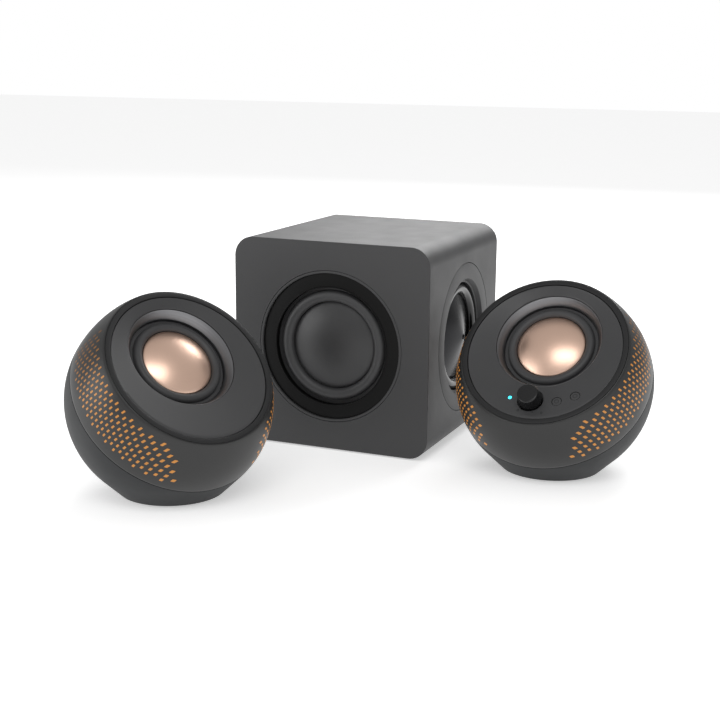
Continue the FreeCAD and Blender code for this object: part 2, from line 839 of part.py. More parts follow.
os.makedirs("parts", exist_ok=True)
for node, solid in all_pieces().items():
    solid.exportStep("parts/%s.step" % node)
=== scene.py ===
import json
import math

import bpy
from bpy.props import FloatProperty, FloatVectorProperty, IntProperty, PointerProperty
from mathutils import Matrix, Vector


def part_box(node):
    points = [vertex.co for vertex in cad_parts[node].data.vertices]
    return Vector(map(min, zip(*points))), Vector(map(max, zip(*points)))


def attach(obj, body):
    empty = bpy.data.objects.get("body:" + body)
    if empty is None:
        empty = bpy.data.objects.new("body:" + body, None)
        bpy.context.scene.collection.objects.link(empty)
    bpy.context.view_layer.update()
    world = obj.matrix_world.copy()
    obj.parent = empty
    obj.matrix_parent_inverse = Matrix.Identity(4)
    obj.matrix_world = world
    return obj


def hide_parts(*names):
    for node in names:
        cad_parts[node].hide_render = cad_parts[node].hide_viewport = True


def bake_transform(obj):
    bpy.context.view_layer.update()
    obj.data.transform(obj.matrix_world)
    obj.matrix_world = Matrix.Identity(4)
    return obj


bl_info = {
    "name": "Desktop speaker set",
    "version": (1, 0, 0),
    "blender": (4, 5, 0),
    "location": "3D View > Sidebar > Speakers",
    "description": "Builds a cube bass cabinet and two round satellites on their CAD frame",
    "category": "Add Mesh",
}

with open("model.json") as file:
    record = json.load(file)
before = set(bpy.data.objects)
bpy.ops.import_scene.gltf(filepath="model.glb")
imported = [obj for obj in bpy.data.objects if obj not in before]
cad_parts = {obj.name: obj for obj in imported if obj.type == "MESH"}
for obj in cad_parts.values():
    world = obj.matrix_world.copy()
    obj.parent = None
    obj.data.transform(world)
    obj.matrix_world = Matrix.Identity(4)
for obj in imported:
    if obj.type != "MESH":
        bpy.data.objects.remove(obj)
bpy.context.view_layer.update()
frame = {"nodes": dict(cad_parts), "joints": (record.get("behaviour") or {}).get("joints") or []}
NODES = frame["nodes"]
JOINTS = {joint["name"]: joint for joint in frame["joints"]}

# ---------------------------------------------------------------- sizes, in millimetres

CUBE_EDGE = 0.6
TRIM_R = 54.6
TRIM_LIP_R = 52.8
TRIM_FACE = -1.6
TRIM_BEAD_R = 43.3
TRIM_HOLE_R = 42.4
TRIM_DEPTH = 6.4
BASS_HOLE_R = 44.5
FRONT_WALL = 9.0
SIDE_WALL = 6.0
BASS_SEAT = -7.9
BASS_ROLL_OUT = 40.1
BASS_CONE_R = 31.3
BASS_CONE_Z = -8.2
BASS_CONE_RISE = 7.0
BASS_CONE_WALL = 0.8
BASS_ROLL_RISE = 4.2
BASS_ROLL_WALL = 1.1
SIDE_RING_R = 54.6
SIDE_MOUTH_R = 43.0
SIDE_STEP_R = 41.4
SIDE_BARREL_R = 40.2
SIDE_HOLE_R = 47.5
SIDE_ROLL_OUT = 39.6
SIDE_SEAT = -7.5
SIDE_ROLL_RISE = 4.0
DISH_R = 31.0
DISH_Z = -7.8
DISH_RISE = 7.2
DISH_WALL = 1.0
DIMPLE_R = 2.2
DIMPLE = 0.9
WEIGHT_R = 11.0
WEIGHT = 5.0
ROLL_WALL = 1.0
PANEL = 116.0
PANEL_LEDGE = 7.0
PANEL_WALL = 3.0
GAP = 0.3

FOOT_PROUD = 0.8
BALL_R = 67.2
BALL_FLAT = 60.6
SHELL_WALL = 2.4
SEAM_N = 0.0
SEAM_GAP = 0.4
SHELL_LOW = SEAM_N + SEAM_GAP / 2
SHELL_TOP = 35.0
SHELL_FLARE = 2.82
SKIRT_TOP = 49.0
FOOT_R = 28.5
RIM_N = 35.4
RIM_R = 56.0
RIM_HOLE_R = 52.6
RIM_SEAT = 32.4
RIM_BARREL_R = 54.4
RIM_U = 3.3
PLATE_EDGE_N = 34.9
PLATE_BACK_N = 28.9
DRIVER_U = 13.0
BEVEL_R = 36.0
BEVEL_N = 31.9
BEVEL_HOLE_R = 32.2
BEVEL_HOLE_N = 25.4
BEVEL_BACK_N = 22.6
BEVEL_FLANGE_R = 37.5
SEAT_N = 23.4
ROLL_OUT = 29.8
ROLL_RISE = 3.2
CONE_R = 23.2
CONE_N = 24.6
CONE_RISE = 6.4
CONE_WALL = 0.7
KNOB_AT = (0.4, -34.5)
KNOB_R = 8.0
KNOB_TOP_R = 6.9
KNOB_WELL_R = 8.8
KNOB_WELL_N = 30.6
KNOB_RISE = 9.6
SHAFT_R = 3.0
BUTTONS = {"power_button": (17.9, -33.0), "mode_button": (29.0, -27.4)}
BUTTON_R = 3.1
BUTTON_FOOT_N = 27.4
PRESS_ROOM = 1.2             # left free under a cap, so that it can be pressed
LIGHT_AT = (-13.9, -34.4)
LIGHT_R = 1.25
BOARD_TOP = 24.2
INLET_Z = -22.0
INLET_FACE = 60.5
INLET_R = 8.4
PORT_BODY_R = 5.4
PORT_BEAD_R = 6.8
JACK_SWING = 24.0
AXIS_Z = Vector((0, 0, 1))
WELD = 1e-6                  # metres within which two points are one
CLOUD_SIZE = 22.0            # the faint clouds in every moulded or sprayed finish


def mm(value):
    return value * 0.001


def srgb(hex_colour):
    """An sRGB hex colour as linear red, green, blue and alpha."""
    channels = [int(hex_colour[i:i + 2], 16) / 255 for i in (1, 3, 5)]
    return tuple(c / 12.92 if c <= 0.04045 else ((c + 0.055) / 1.055) ** 2.4 for c in channels) + (1.0,)


# ---------------------------------------------------------------- where everything stands

def bass_centre():
    low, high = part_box("bass_cabinet")
    return (low + high) / 2


def cube_half():
    low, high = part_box("bass_cabinet")
    return (high.z - low.z) / 2


def columns(x_axis, y_axis, z_axis, origin):
    """The matrix that takes local X, Y and Z to the three given directions."""
    turn = Matrix((x_axis, y_axis, z_axis)).transposed().to_4x4()
    return Matrix.Translation(origin) @ turn


def front_of_cube():
    return columns((1, 0, 0), (0, 0, 1), (0, -1, 0), bass_centre() - Vector((0, cube_half(), 0)))


def side_of_cube(side):
    return columns((0, 0, -side), (0, 1, 0), (side, 0, 0), bass_centre() + Vector((side * cube_half(), 0, 0)))


def ball_centre(side):
    low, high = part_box("foot_pad_" + side)
    return Vector(((low.x + high.x) / 2, (low.y + high.y) / 2, low.z + mm(FOOT_PROUD + BALL_FLAT)))


def plate_normal(side):
    return Vector(JOINTS[side + "_travel"]["axis"]).normalized()


def tilted(side):
    """Local X across the plate, Y up the plate and Z out of it, from the ball's centre."""
    out = plate_normal(side)
    across = AXIS_Z.cross(out).normalized()
    return columns(across, out.cross(across), out, ball_centre(side))


def upright(side):
    """Local -Y forward and Z up, from the ball's centre."""
    across = AXIS_Z.cross(plate_normal(side)).normalized()
    return columns(across, AXIS_Z.cross(across), AXIS_Z, ball_centre(side))


def slid(x, y):
    """A shift across and up the plate."""
    return Matrix.Translation((mm(x), mm(y), 0))


# ---------------------------------------------------------------- modelling helpers

def clear():
    if bpy.context.mode != "OBJECT":
        bpy.ops.object.mode_set(mode="OBJECT")
    bpy.ops.object.select_all(action="DESELECT")


def only(piece):
    clear()
    piece.select_set(True)
    bpy.context.view_layer.objects.active = piece


def settle(piece):
    """Puts a piece's place, turn and scale into its mesh."""
    only(piece)
    bpy.ops.object.transform_apply(location=True, rotation=True, scale=True)


def pick(piece, test):
    """In edit mode, selects the edges whose middle and direction pass a test."""
    bpy.ops.mesh.select_mode(type="EDGE")
    bpy.ops.mesh.select_all(action="DESELECT")
    bpy.ops.object.mode_set(mode="OBJECT")
    vertices = piece.data.vertices
    for edge in piece.data.edges:
        a, b = (vertices[i].co for i in edge.vertices)
        edge.select = test((a + b) / 2, b - a)
    bpy.ops.object.mode_set(mode="EDIT")


def shade(piece, degrees=32.0):
    only(piece)
    bpy.ops.object.shade_smooth_by_angle(angle=math.radians(degrees))


def modify(piece, kind, **settings):
    """Adds a modifier and applies it."""
    only(piece)
    bpy.ops.object.modifier_add(type=kind)
    modifier = piece.modifiers[-1]
    for key, value in settings.items():
        setattr(modifier, key, value)
    bpy.ops.object.modifier_apply(modifier=modifier.name)


def cut(piece, *tools):
    for tool in tools:
        modify(piece, "BOOLEAN", operation="DIFFERENCE", solver="EXACT", object=tool)
        bpy.data.objects.remove(tool)


def join(piece, *others):
    only(piece)
    for other in others:
        other.select_set(True)
    bpy.ops.object.join()
    return piece


def peg(radius, low, high, x=0.0, y=0.0, sides=96):
    """A plain rod along Z that only cuts holes."""
    clear()
    bpy.ops.mesh.primitive_cylinder_add(vertices=sides, radius=mm(radius), depth=mm(high - low),
                                        location=(mm(x), mm(y), mm((low + high) / 2)))
    tool = bpy.context.object
    settle(tool)
    return tool


def brick(width, depth, low, high, x=0.0, y=0.0):
    """A plain box that only cuts holes."""
    clear()
    bpy.ops.mesh.primitive_cube_add(size=1, location=(mm(x), mm(y), mm((low + high) / 2)),
                                    scale=(mm(width), mm(depth), mm(high - low)))
    tool = bpy.context.object
    settle(tool)
    return tool


def softened(corners, segments=4):
    """An outline of (radius, height, rounding) corners, each rounded by its own radius."""
    points = []
    count = len(corners)
    for i, (r, z, rounding) in enumerate(corners):
        here = Vector((r, z))
        if rounding == 0:
            points.append(here)
            continue
        before = (Vector(corners[i - 1][:2]) - here).normalized()
        after = (Vector(corners[(i + 1) % count][:2]) - here).normalized()
        half = before.angle(after) / 2
        reach = rounding / math.tan(half)
        middle = here + (before + after).normalized() * rounding / math.sin(half)
        start = here + before * reach - middle
        end = here + after * reach - middle
        sweep = start.angle_signed(end)
        for step in range(segments + 1):
            turn = -sweep * step / segments
            points.append(middle + Matrix.Rotation(turn, 2) @ start)
    return [(p.x, p.y) for p in points]


def arc(start, middle, end, steps):
    """Points from start to end along the circle through middle, start left out."""
    a, b, c = (Vector(p) for p in (start, middle, end))
    d = 2 * (a.x * (b.y - c.y) + b.x * (c.y - a.y) + c.x * (a.y - b.y))
    x = (a.length_squared * (b.y - c.y) + b.length_squared * (c.y - a.y) + c.length_squared * (a.y - b.y)) / d
    y = (a.length_squared * (c.x - b.x) + b.length_squared * (a.x - c.x) + c.length_squared * (b.x - a.x)) / d
    centre = Vector((x, y))
    sweep = (a - centre).angle_signed(b - centre) + (b - centre).angle_signed(c - centre)
    return [tuple(centre + Matrix.Rotation(-sweep * i / steps, 2) @ (a - centre)) for i in range(1, steps + 1)]


def spun(name, outline, steps=160):
    """A turned piece: its closed outline is drawn point by point and spun about Z."""
    clear()
    first = outline[0]
    bpy.ops.mesh.primitive_plane_add(size=mm(1), location=(mm(first[0]), 0, mm(first[1])))
    piece = bpy.context.object
    piece.name = name
    settle(piece)
    bpy.ops.object.mode_set(mode="EDIT")
    bpy.ops.mesh.select_mode(type="VERT")
    bpy.ops.mesh.select_all(action="SELECT")
    bpy.ops.mesh.merge(type="CENTER")
    last = first
    on_axis = first[0] == 0 and outline[-1][0] == 0
    for point in outline[1:] + ([] if on_axis else [first]):
        step = (mm(point[0] - last[0]), 0, mm(point[1] - last[1]))
        bpy.ops.mesh.extrude_region_move(TRANSFORM_OT_translate={"value": step})
        last = point
    bpy.ops.mesh.select_all(action="SELECT")
    bpy.ops.mesh.remove_doubles(threshold=WELD)
    bpy.ops.mesh.spin(steps=steps, angle=2 * math.pi, center=(0, 0, 0), axis=(0, 0, 1))
    bpy.ops.mesh.select_all(action="SELECT")
    bpy.ops.mesh.remove_doubles(threshold=WELD)
    bpy.ops.mesh.normals_make_consistent(inside=False)
    bpy.ops.object.mode_set(mode="OBJECT")
    ring_map(piece)
    shade(piece)
    return piece


def ring_map(piece):
    """A UV map that runs round the axis in U and outwards, in centimetres, in V."""
    mesh = piece.data
    layer = mesh.uv_layers.new(name="rings")
    for face in mesh.polygons:
        middle = math.atan2(face.center.y, face.center.x)
        for loop in face.loop_indices:
            place = mesh.vertices[mesh.loops[loop].vertex_index].co
            radius = math.hypot(place.x, place.y)
            angle = math.atan2(place.y, place.x) if radius > 1e-6 else middle
            angle = middle + (angle - middle + math.pi) % (2 * math.pi) - math.pi
            layer.data[loop].uv = (angle / (2 * math.pi), radius * 100 + place.z * 20)


def stacked(name, rings, sides=192):
    """A shell that is extruded, moved and resized ring by ring; each ring is (radius, up, height)."""
    clear()
    radius, up, height = rings[0]
    bpy.ops.mesh.primitive_circle_add(vertices=sides, radius=mm(radius), location=(0, mm(up), mm(height)))
    piece = bpy.context.object
    piece.name = name
    settle(piece)
    bpy.ops.object.mode_set(mode="EDIT")
    bpy.ops.mesh.select_mode(type="EDGE")
    bpy.ops.mesh.select_all(action="SELECT")
    for next_radius, next_up, next_height in rings[1:] + rings[:1]:
        step = (0, mm(next_up - up), mm(next_height - height))
        bpy.ops.mesh.extrude_edges_move(TRANSFORM_OT_translate={"value": step})
        size = next_radius / radius
        bpy.ops.transform.resize(value=(size, size, 1), center_override=(0, mm(next_up), mm(next_height)))
        radius, up, height = next_radius, next_up, next_height
    bpy.ops.mesh.select_all(action="SELECT")
    bpy.ops.mesh.remove_doubles(threshold=WELD)
    bpy.ops.mesh.normals_make_consistent(inside=False)
    bpy.ops.object.mode_set(mode="OBJECT")
    shade(piece)
    return piece


def roll_outline(inner, outer, flange, seat, rise, wall):
    """A rubber half roll with a small glued lip inside and its flange outside."""
    middle = (inner + outer) / 2
    points = [(inner, seat)]
    points += arc((inner, seat), (middle, seat + rise), (outer, seat), 20)
    points += [(flange, seat), (flange, seat - wall), (outer - wall, seat - wall)]
    points += arc((outer - wall, seat - wall), (middle, seat + rise - wall), (inner + wall, seat - wall), 12)
    points.append((inner, seat - wall))
    return points


def dome_outline(radius, edge, rise, wall):
    """A smooth dome, part of a sphere, with a turned-over edge."""
    ball = (radius ** 2 + rise ** 2) / (2 * rise)

    def height(r):
        return edge + rise - ball + math.sqrt(ball ** 2 - r ** 2)

    steps = 20
    top = [(radius * i / steps, height(radius * i / steps)) for i in range(steps + 1)]
    under = [(r, z - wall) for r, z in reversed(top[::4])]
    return top[:-1] + [(radius - 0.15, edge), (radius, edge - 0.15)] + under


def handed(piece):
    """A copy with its own mesh, for the other satellite or the other side."""
    only(piece)
    bpy.ops.object.duplicate(linked=False)
    return bpy.context.object


def dress(piece, name, matrix, slot, nodes, finish):
    """Brings a piece to its place, gives it its finish and hides the CAD nodes it stands for."""
    piece.name = name
    piece.data.name = name
    piece.matrix_world = matrix
    settle(piece)
    piece.data.materials.clear()
    piece.data.materials.append(FINISH[finish or slot])
    if nodes:
        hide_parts(*nodes)


def fit(piece, name, matrix, body, slot, *nodes, finish=None):
    """Dresses a piece and lets it ride on a body."""
    dress(piece, name, matrix, slot, nodes, finish)
    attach(piece, body)


def flex(piece, name, matrix, node, inner, outer, finish=None):
    """Dresses a rubber roll in its place and works out each point's share from its outer to its inner radius;
    the share is not kept.
    """
    dress(piece, name, matrix, "roll_rubber", (node,), finish)
    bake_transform(piece)
    inverse = matrix.inverted()
    for vertex in piece.data.vertices:
        place = inverse @ vertex.co
        share = (outer - math.hypot(place.x, place.y) * 1000) / (outer - inner)
        share = min(1.0, max(0.0, share))


def drop(*models):
    for model in models:
        bpy.data.objects.remove(model)


# ---------------------------------------------------------------- materials

def add(tree, kind, inputs, **settings):
    """Adds a node with its settings, and sets or links its inputs."""
    node = tree.nodes.new(kind)
    for key, value in settings.items():
        setattr(node, key, value)
    for key, value in inputs.items():
        if isinstance(value, bpy.types.NodeSocket):
            tree.links.new(value, node.inputs[key])
        else:
            node.inputs[key].default_value = value
    return node


def new_material(name):
    material = bpy.data.materials.new(name)
    material.use_nodes = True
    tree = material.node_tree
    tree.nodes.clear()
    return material, tree


def surface(tree, shader_inputs):
    shader = add(tree, "ShaderNodeBsdfPrincipled", shader_inputs)
    add(tree, "ShaderNodeOutputMaterial", {"Surface": shader.outputs["BSDF"]})
    return shader


def millimetres(tree):
    """Object coordinates counted in millimetres."""
    place = add(tree, "ShaderNodeTexCoord", {})
    return add(tree, "ShaderNodeMapping", {"Vector": place.outputs["Object"], "Scale": (1000, 1000, 1000)})


def moulded(name, colour, roughness, grain, depth, cloud=0.06, specular=0.5):
    """Moulded or sprayed surface: a fine grain in relief, and faint clouds in colour and gloss."""
    material, tree = new_material(name)
    place = millimetres(tree).outputs["Vector"]
    fine = add(tree, "ShaderNodeTexNoise", {"Vector": place, "Scale": 1 / grain, "Detail": 3.0,
                                            "Roughness": 0.6})
    broad = add(tree, "ShaderNodeTexNoise", {"Vector": place, "Scale": 1 / CLOUD_SIZE, "Detail": 3.0})
    shift = add(tree, "ShaderNodeMapRange", {"Value": broad.outputs["Fac"], "From Min": 0.3, "From Max": 0.7,
                                             "To Min": 1 - cloud, "To Max": 1 + cloud})
    speck = add(tree, "ShaderNodeMapRange", {"Value": fine.outputs["Fac"], "From Min": 0.25, "From Max": 0.75,
                                             "To Min": 0.93, "To Max": 1.07})
    both = add(tree, "ShaderNodeMath", {0: shift.outputs["Result"], 1: speck.outputs["Result"]},
               operation="MULTIPLY")
    tint = add(tree, "ShaderNodeVectorMath", {0: colour[:3], "Scale": both.outputs["Value"]},
               operation="SCALE")
    gloss = add(tree, "ShaderNodeMapRange", {"Value": broad.outputs["Fac"], "From Min": 0.3, "From Max": 0.7,
                                             "To Min": roughness - 0.03, "To Max": roughness + 0.03})
    relief = add(tree, "ShaderNodeBump", {"Height": fine.outputs["Fac"], "Strength": 0.6,
                                            "Distance": mm(depth)})
    surface(tree, {"Base Color": tint.outputs["Vector"], "Roughness": gloss.outputs["Result"],
                   "Normal": relief.outputs["Normal"], "IOR": 1.5, "Specular IOR Level": specular})
    return material


def turned_metal(name, colour, roughness, groove, depth, anisotropy, spread=0.08):
    """Spun or brushed metal: fine circular grooves that stretch every highlight across them."""
    material, tree = new_material(name)
    rings = add(tree, "ShaderNodeUVMap", {}, uv_map="rings")
    drawn = add(tree, "ShaderNodeMapping", {"Vector": rings.outputs["UV"], "Scale": (3, 10 / groove, 1)})
    lines = add(tree, "ShaderNodeTexNoise", {"Vector": drawn.outputs["Vector"], "Scale": 1.0, "Detail": 2.0})
    shift = add(tree, "ShaderNodeMapRange", {"Value": lines.outputs["Fac"], "From Min": 0.3, "From Max": 0.7,
                                             "To Min": 1 - spread, "To Max": 1 + spread})
    tint = add(tree, "ShaderNodeVectorMath", {0: colour[:3], "Scale": shift.outputs["Result"]},
               operation="SCALE")
    gloss = add(tree, "ShaderNodeMapRange", {"Value": lines.outputs["Fac"], "To Min": roughness - 0.04,
                                             "To Max": roughness + 0.04})
    relief = add(tree, "ShaderNodeBump", {"Height": lines.outputs["Fac"], "Strength": 0.5,
                                            "Distance": mm(depth)})
    tangent = add(tree, "ShaderNodeTangent", {}, direction_type="UV_MAP", uv_map="rings")
    surface(tree, {"Base Color": tint.outputs["Vector"], "Metallic": 1.0, "Roughness": gloss.outputs["Result"],
                   "Normal": relief.outputs["Normal"], "Anisotropic": anisotropy,
                   "Tangent": tangent.outputs["Tangent"]})
    return material


def lit(name, colour, dark, strength, roughness):
    """Clear plastic with a lamp behind it; the attribute glow sets how strongly it shines, and on the light
    openings it also holds a painted fall-off towards the top of the plate.
    """
    material, tree = new_material(name)
    glow = add(tree, "ShaderNodeAttribute", {}, attribute_name="glow")
    place = millimetres(tree).outputs["Vector"]
    cloud = add(tree, "ShaderNodeTexNoise", {"Vector": place, "Scale": 1 / 9, "Detail": 2.0})
    drift = add(tree, "ShaderNodeMapRange", {"Value": cloud.outputs["Fac"], "To Min": 0.88, "To Max": 1.12})
    level = add(tree, "ShaderNodeMath", {0: glow.outputs["Fac"], 1: drift.outputs["Result"]},
                operation="MULTIPLY")
    tint = add(tree, "ShaderNodeMix", {"Factor": level.outputs["Value"], "A": dark, "B": colour},
               data_type="RGBA")
    power = add(tree, "ShaderNodeMath", {0: level.outputs["Value"], 1: strength}, operation="MULTIPLY")
    tint_out = tint.outputs[2]
    body = add(tree, "ShaderNodeVectorMath", {0: tint_out, "Scale": 0.2}, operation="SCALE")
    surface(tree, {"Base Color": body.outputs["Vector"], "Roughness": roughness, "IOR": 1.49,
                   "Emission Color": tint_out, "Emission Strength": power.outputs["Value"]})
    return material


def woven(name, colour, thread):
    """Woven and resin-dipped cloth: two crossed sets of threads in relief."""
    material, tree = new_material(name)
    place = millimetres(tree).outputs["Vector"]
    warp = add(tree, "ShaderNodeTexWave", {"Vector": place, "Scale": 1 / (thread * 6)}, bands_direction="X")
    weft = add(tree, "ShaderNodeTexWave", {"Vector": place, "Scale": 1 / (thread * 6)}, bands_direction="Z")
    cloth = add(tree, "ShaderNodeMath", {0: warp.outputs["Fac"], 1: weft.outputs["Fac"]}, operation="MULTIPLY")
    shift = add(tree, "ShaderNodeMapRange", {"Value": cloth.outputs["Value"], "To Min": 0.75, "To Max": 1.1})
    tint = add(tree, "ShaderNodeVectorMath", {0: colour[:3], "Scale": shift.outputs["Result"]},
               operation="SCALE")
    relief = add(tree, "ShaderNodeBump", {"Height": cloth.outputs["Value"], "Distance": mm(0.1)})
    surface(tree, {"Base Color": tint.outputs["Vector"], "Roughness": 0.8, "Normal": relief.outputs["Normal"]})
    return material


class SPEAKERS_PG_finish(bpy.types.PropertyGroup):
    """Colours and glosses of what is seen."""
    cabinet: FloatVectorProperty(name="Cabinet", description="Sprayed paint of the cube",
                                 default=srgb("#373738")[:3], subtype="COLOR", min=0, max=1)
    shell: FloatVectorProperty(name="Satellite shell", description="Front shell of a satellite",
                               default=srgb("#232323")[:3], subtype="COLOR", min=0, max=1)
    back: FloatVectorProperty(name="Satellite back", description="Rear shell of a satellite",
                              default=srgb("#191b1d")[:3], subtype="COLOR", min=0, max=1)
    plate: FloatVectorProperty(name="Plate", description="Plate round the satellite driver",
                               default=srgb("#3a3a3b")[:3], subtype="COLOR", min=0, max=1)
    cone: FloatVectorProperty(name="Copper cone", description="Anodised cone of a satellite driver",
                              default=srgb("#eecbb6")[:3], subtype="COLOR", min=0, max=1)
    amber: FloatVectorProperty(name="Amber light", description="Light behind the flank openings",
                               default=srgb("#d9903c")[:3], subtype="COLOR", min=0, max=1)
    status: FloatVectorProperty(name="Status light", description="Small lamp beside the knob",
                                default=srgb("#38d8f0")[:3], subtype="COLOR", min=0, max=1)
    shell_gloss: FloatProperty(name="Shell roughness", description="Roughness of the front shells",
                               default=0.38, min=0, max=1, subtype="FACTOR")
    cabinet_gloss: FloatProperty(name="Cabinet roughness", description="Roughness of the cube's paint",
                                 default=0.5, min=0, max=1, subtype="FACTOR")


class SPEAKERS_PG_sizes(bpy.types.PropertyGroup):
    """Sizes that give the set its look, inside the room the frame leaves."""
    cabinet_corner: FloatProperty(name="Cabinet corner", description="Radius of the long edges",
                                  default=0.0142, min=0.001, max=0.03, unit="LENGTH", subtype="DISTANCE")
    pip_length: FloatProperty(name="Light opening length", description="Length of one opening",
                              default=0.0022, min=0.001, max=0.0035, unit="LENGTH", subtype="DISTANCE")
    pip_width: FloatProperty(name="Light opening width", description="Width of one opening",
                             default=0.00118, min=0.0005, max=0.002, unit="LENGTH", subtype="DISTANCE")
    pip_pitch: FloatProperty(name="Column pitch", description="Distance from one column to the next",
                             default=0.0032, min=0.002, max=0.006, unit="LENGTH", subtype="DISTANCE")
    steps: IntProperty(name="Steps", description="Facets round a large turned piece",
                       default=192, min=48, max=256)


def rgba(colour):
    return tuple(colour) + (1.0,)


def make_finishes():
    """All materials, by the record's slot."""
    f = bpy.context.scene.speakers_finish
    steel = srgb("#8d8f92")
    return {
        # Medium-density board, sprayed with a textured two-part paint: a dense dull grain.
        "cabinet_grey": moulded("MDF textured paint", rgba(f.cabinet), f.cabinet_gloss, 0.45, 0.035, 0.03),
        # ABS, moulded against a polished tool and left satin: deep black with soft reflections.
        "trim_black": moulded("ABS satin black", srgb("#050505"), 0.4, 0.3, 0.006, 0.04, 0.2),
        # Nitrile rubber, pressed: smooth, slightly oily dark skin.
        "roll_rubber": moulded("Nitrile rubber pressed", srgb("#3a3a3b"), 0.5, 0.5, 0.006, 0.05),
        # Butyl rubber, pressed in a polished mould: wet-looking black with narrow highlights.
        "gloss_rubber": moulded("Butyl rubber glossy", srgb("#0c0c0d"), 0.16, 0.6, 0.002, 0.04),
        # Polypropylene, injected: satin and even, with a faint cloud.
        "cone_grey": moulded("Polypropylene satin", srgb("#323233"), 0.42, 0.5, 0.004, 0.04),
        # Aluminium, spun and black anodised: tight grooves with a bow-tie highlight.
        "dish_metal": turned_metal("Aluminium spun black", srgb("#1f1f21"), 0.2, 0.35, 0.004, 0.85, 0.2),
        # ABS, moulded with a light spark texture: warm dark grey with broad soft highlights.
        "shell_grey": moulded("ABS spark textured", rgba(f.shell), f.shell_gloss, 0.35, 0.006, 0.04),
        # ABS, moulded matt: cold blue-black, nearly without highlights.
        "shell_dark": moulded("ABS matt blue black", rgba(f.back), 0.6, 0.4, 0.012, 0.04),
        # The same in charcoal: a dull band that frames the plate.
        "rim_dark": moulded("ABS satin charcoal", srgb("#1b1b1c"), 0.45, 0.35, 0.006, 0.04, 0.4),
        # Polycarbonate, sprayed with a fine metallic paint: a barely visible speckle.
        "plate_grey": moulded("Polycarbonate fine metallic paint", rgba(f.plate), 0.45, 0.3, 0.01, 0.03),
        # Aluminium, turned and grey anodised: hairline rings and a soft sheen round the driver.
        "bevel_grey": turned_metal("Aluminium turned grey", srgb("#858587"), 0.42, 0.25, 0.003, 0.5, 0.1),
        # Aluminium, pressed and anodised copper: smooth satin with wide soft highlights.
        "copper_cone": turned_metal("Aluminium copper anodised", rgba(f.cone), 0.34, 0.5, 0.0012, 0.0, 0.012),
        # Acrylic, frosted, with amber light behind it.
        "light_amber": lit("Acrylic amber lit", rgba(f.amber), srgb("#4a3826"), 0.62, 0.4),
        # The same with a bright cyan lamp: one clear point beside the knob.
        "status_cyan": lit("Acrylic cyan lit", rgba(f.status), srgb("#0a2c33"), 3.0, 0.25),
        # Silicone rubber, moulded: dull and dusty.
        "pad_rubber": moulded("Silicone rubber", srgb("#151515"), 0.75, 0.6, 0.02, 0.08),
        # ABS with a soft-touch lacquer: black, with a sheen along the edge.
        "knob_black": moulded("ABS soft touch lacquer", srgb("#0e0e0f"), 0.26, 0.25, 0.006, 0.03),
        # Steel sheet, powder coated: orange-peel dimples.
        "panel_metal": moulded("Steel powder coated", srgb("#232324"), 0.5, 0.9, 0.04, 0.03),
        # Nylon, black: plain, slightly dull sockets.
        "socket_black": moulded("Nylon black", srgb("#121213"), 0.45, 0.5, 0.01, 0.05),
        # Steel, black oxide: oily black screw heads that catch the light.
        "screw_black": moulded("Steel black oxide", srgb("#1a1a1b"), 0.3, 0.4, 0.008, 0.1, 0.8),
        # Steel, zinc plated: pale grey and patchy.
        "frame_metal": moulded("Steel zinc plated", steel, 0.4, 1.5, 0.01, 0.1),
        # Ferrite, ground: dull graphite.
        "magnet_steel": moulded("Ferrite ground", srgb("#3a3a3c"), 0.6, 0.8, 0.02, 0.1),
        # Steel, bare: pale grey with faint stains.
        "weight_steel": moulded("Steel plain", steel, 0.45, 1.2, 0.01, 0.1),
        # Polyimide film: clear brown tape.
        "coil_former": moulded("Polyimide film", srgb("#8a5a2c"), 0.4, 1.0, 0.004, 0.05),
        # Glass epoxy with green lacquer: glossy green.
        "board_green": moulded("Glass epoxy board", srgb("#1d4a2c"), 0.4, 1.0, 0.01, 0.08),
        # Cotton, dipped in resin: straw-coloured open weave.
        "spider_cloth": woven("Cotton resin dipped", srgb("#c0a060"), 0.6),
        # Ink, pad printed: flat dark grey.
        "mark_dark": moulded("Ink dark grey", srgb("#1c1c1d"), 0.55, 0.3, 0.002, 0.03),
    }


FINISH = {}


# ---------------------------------------------------------------- bass cabinet

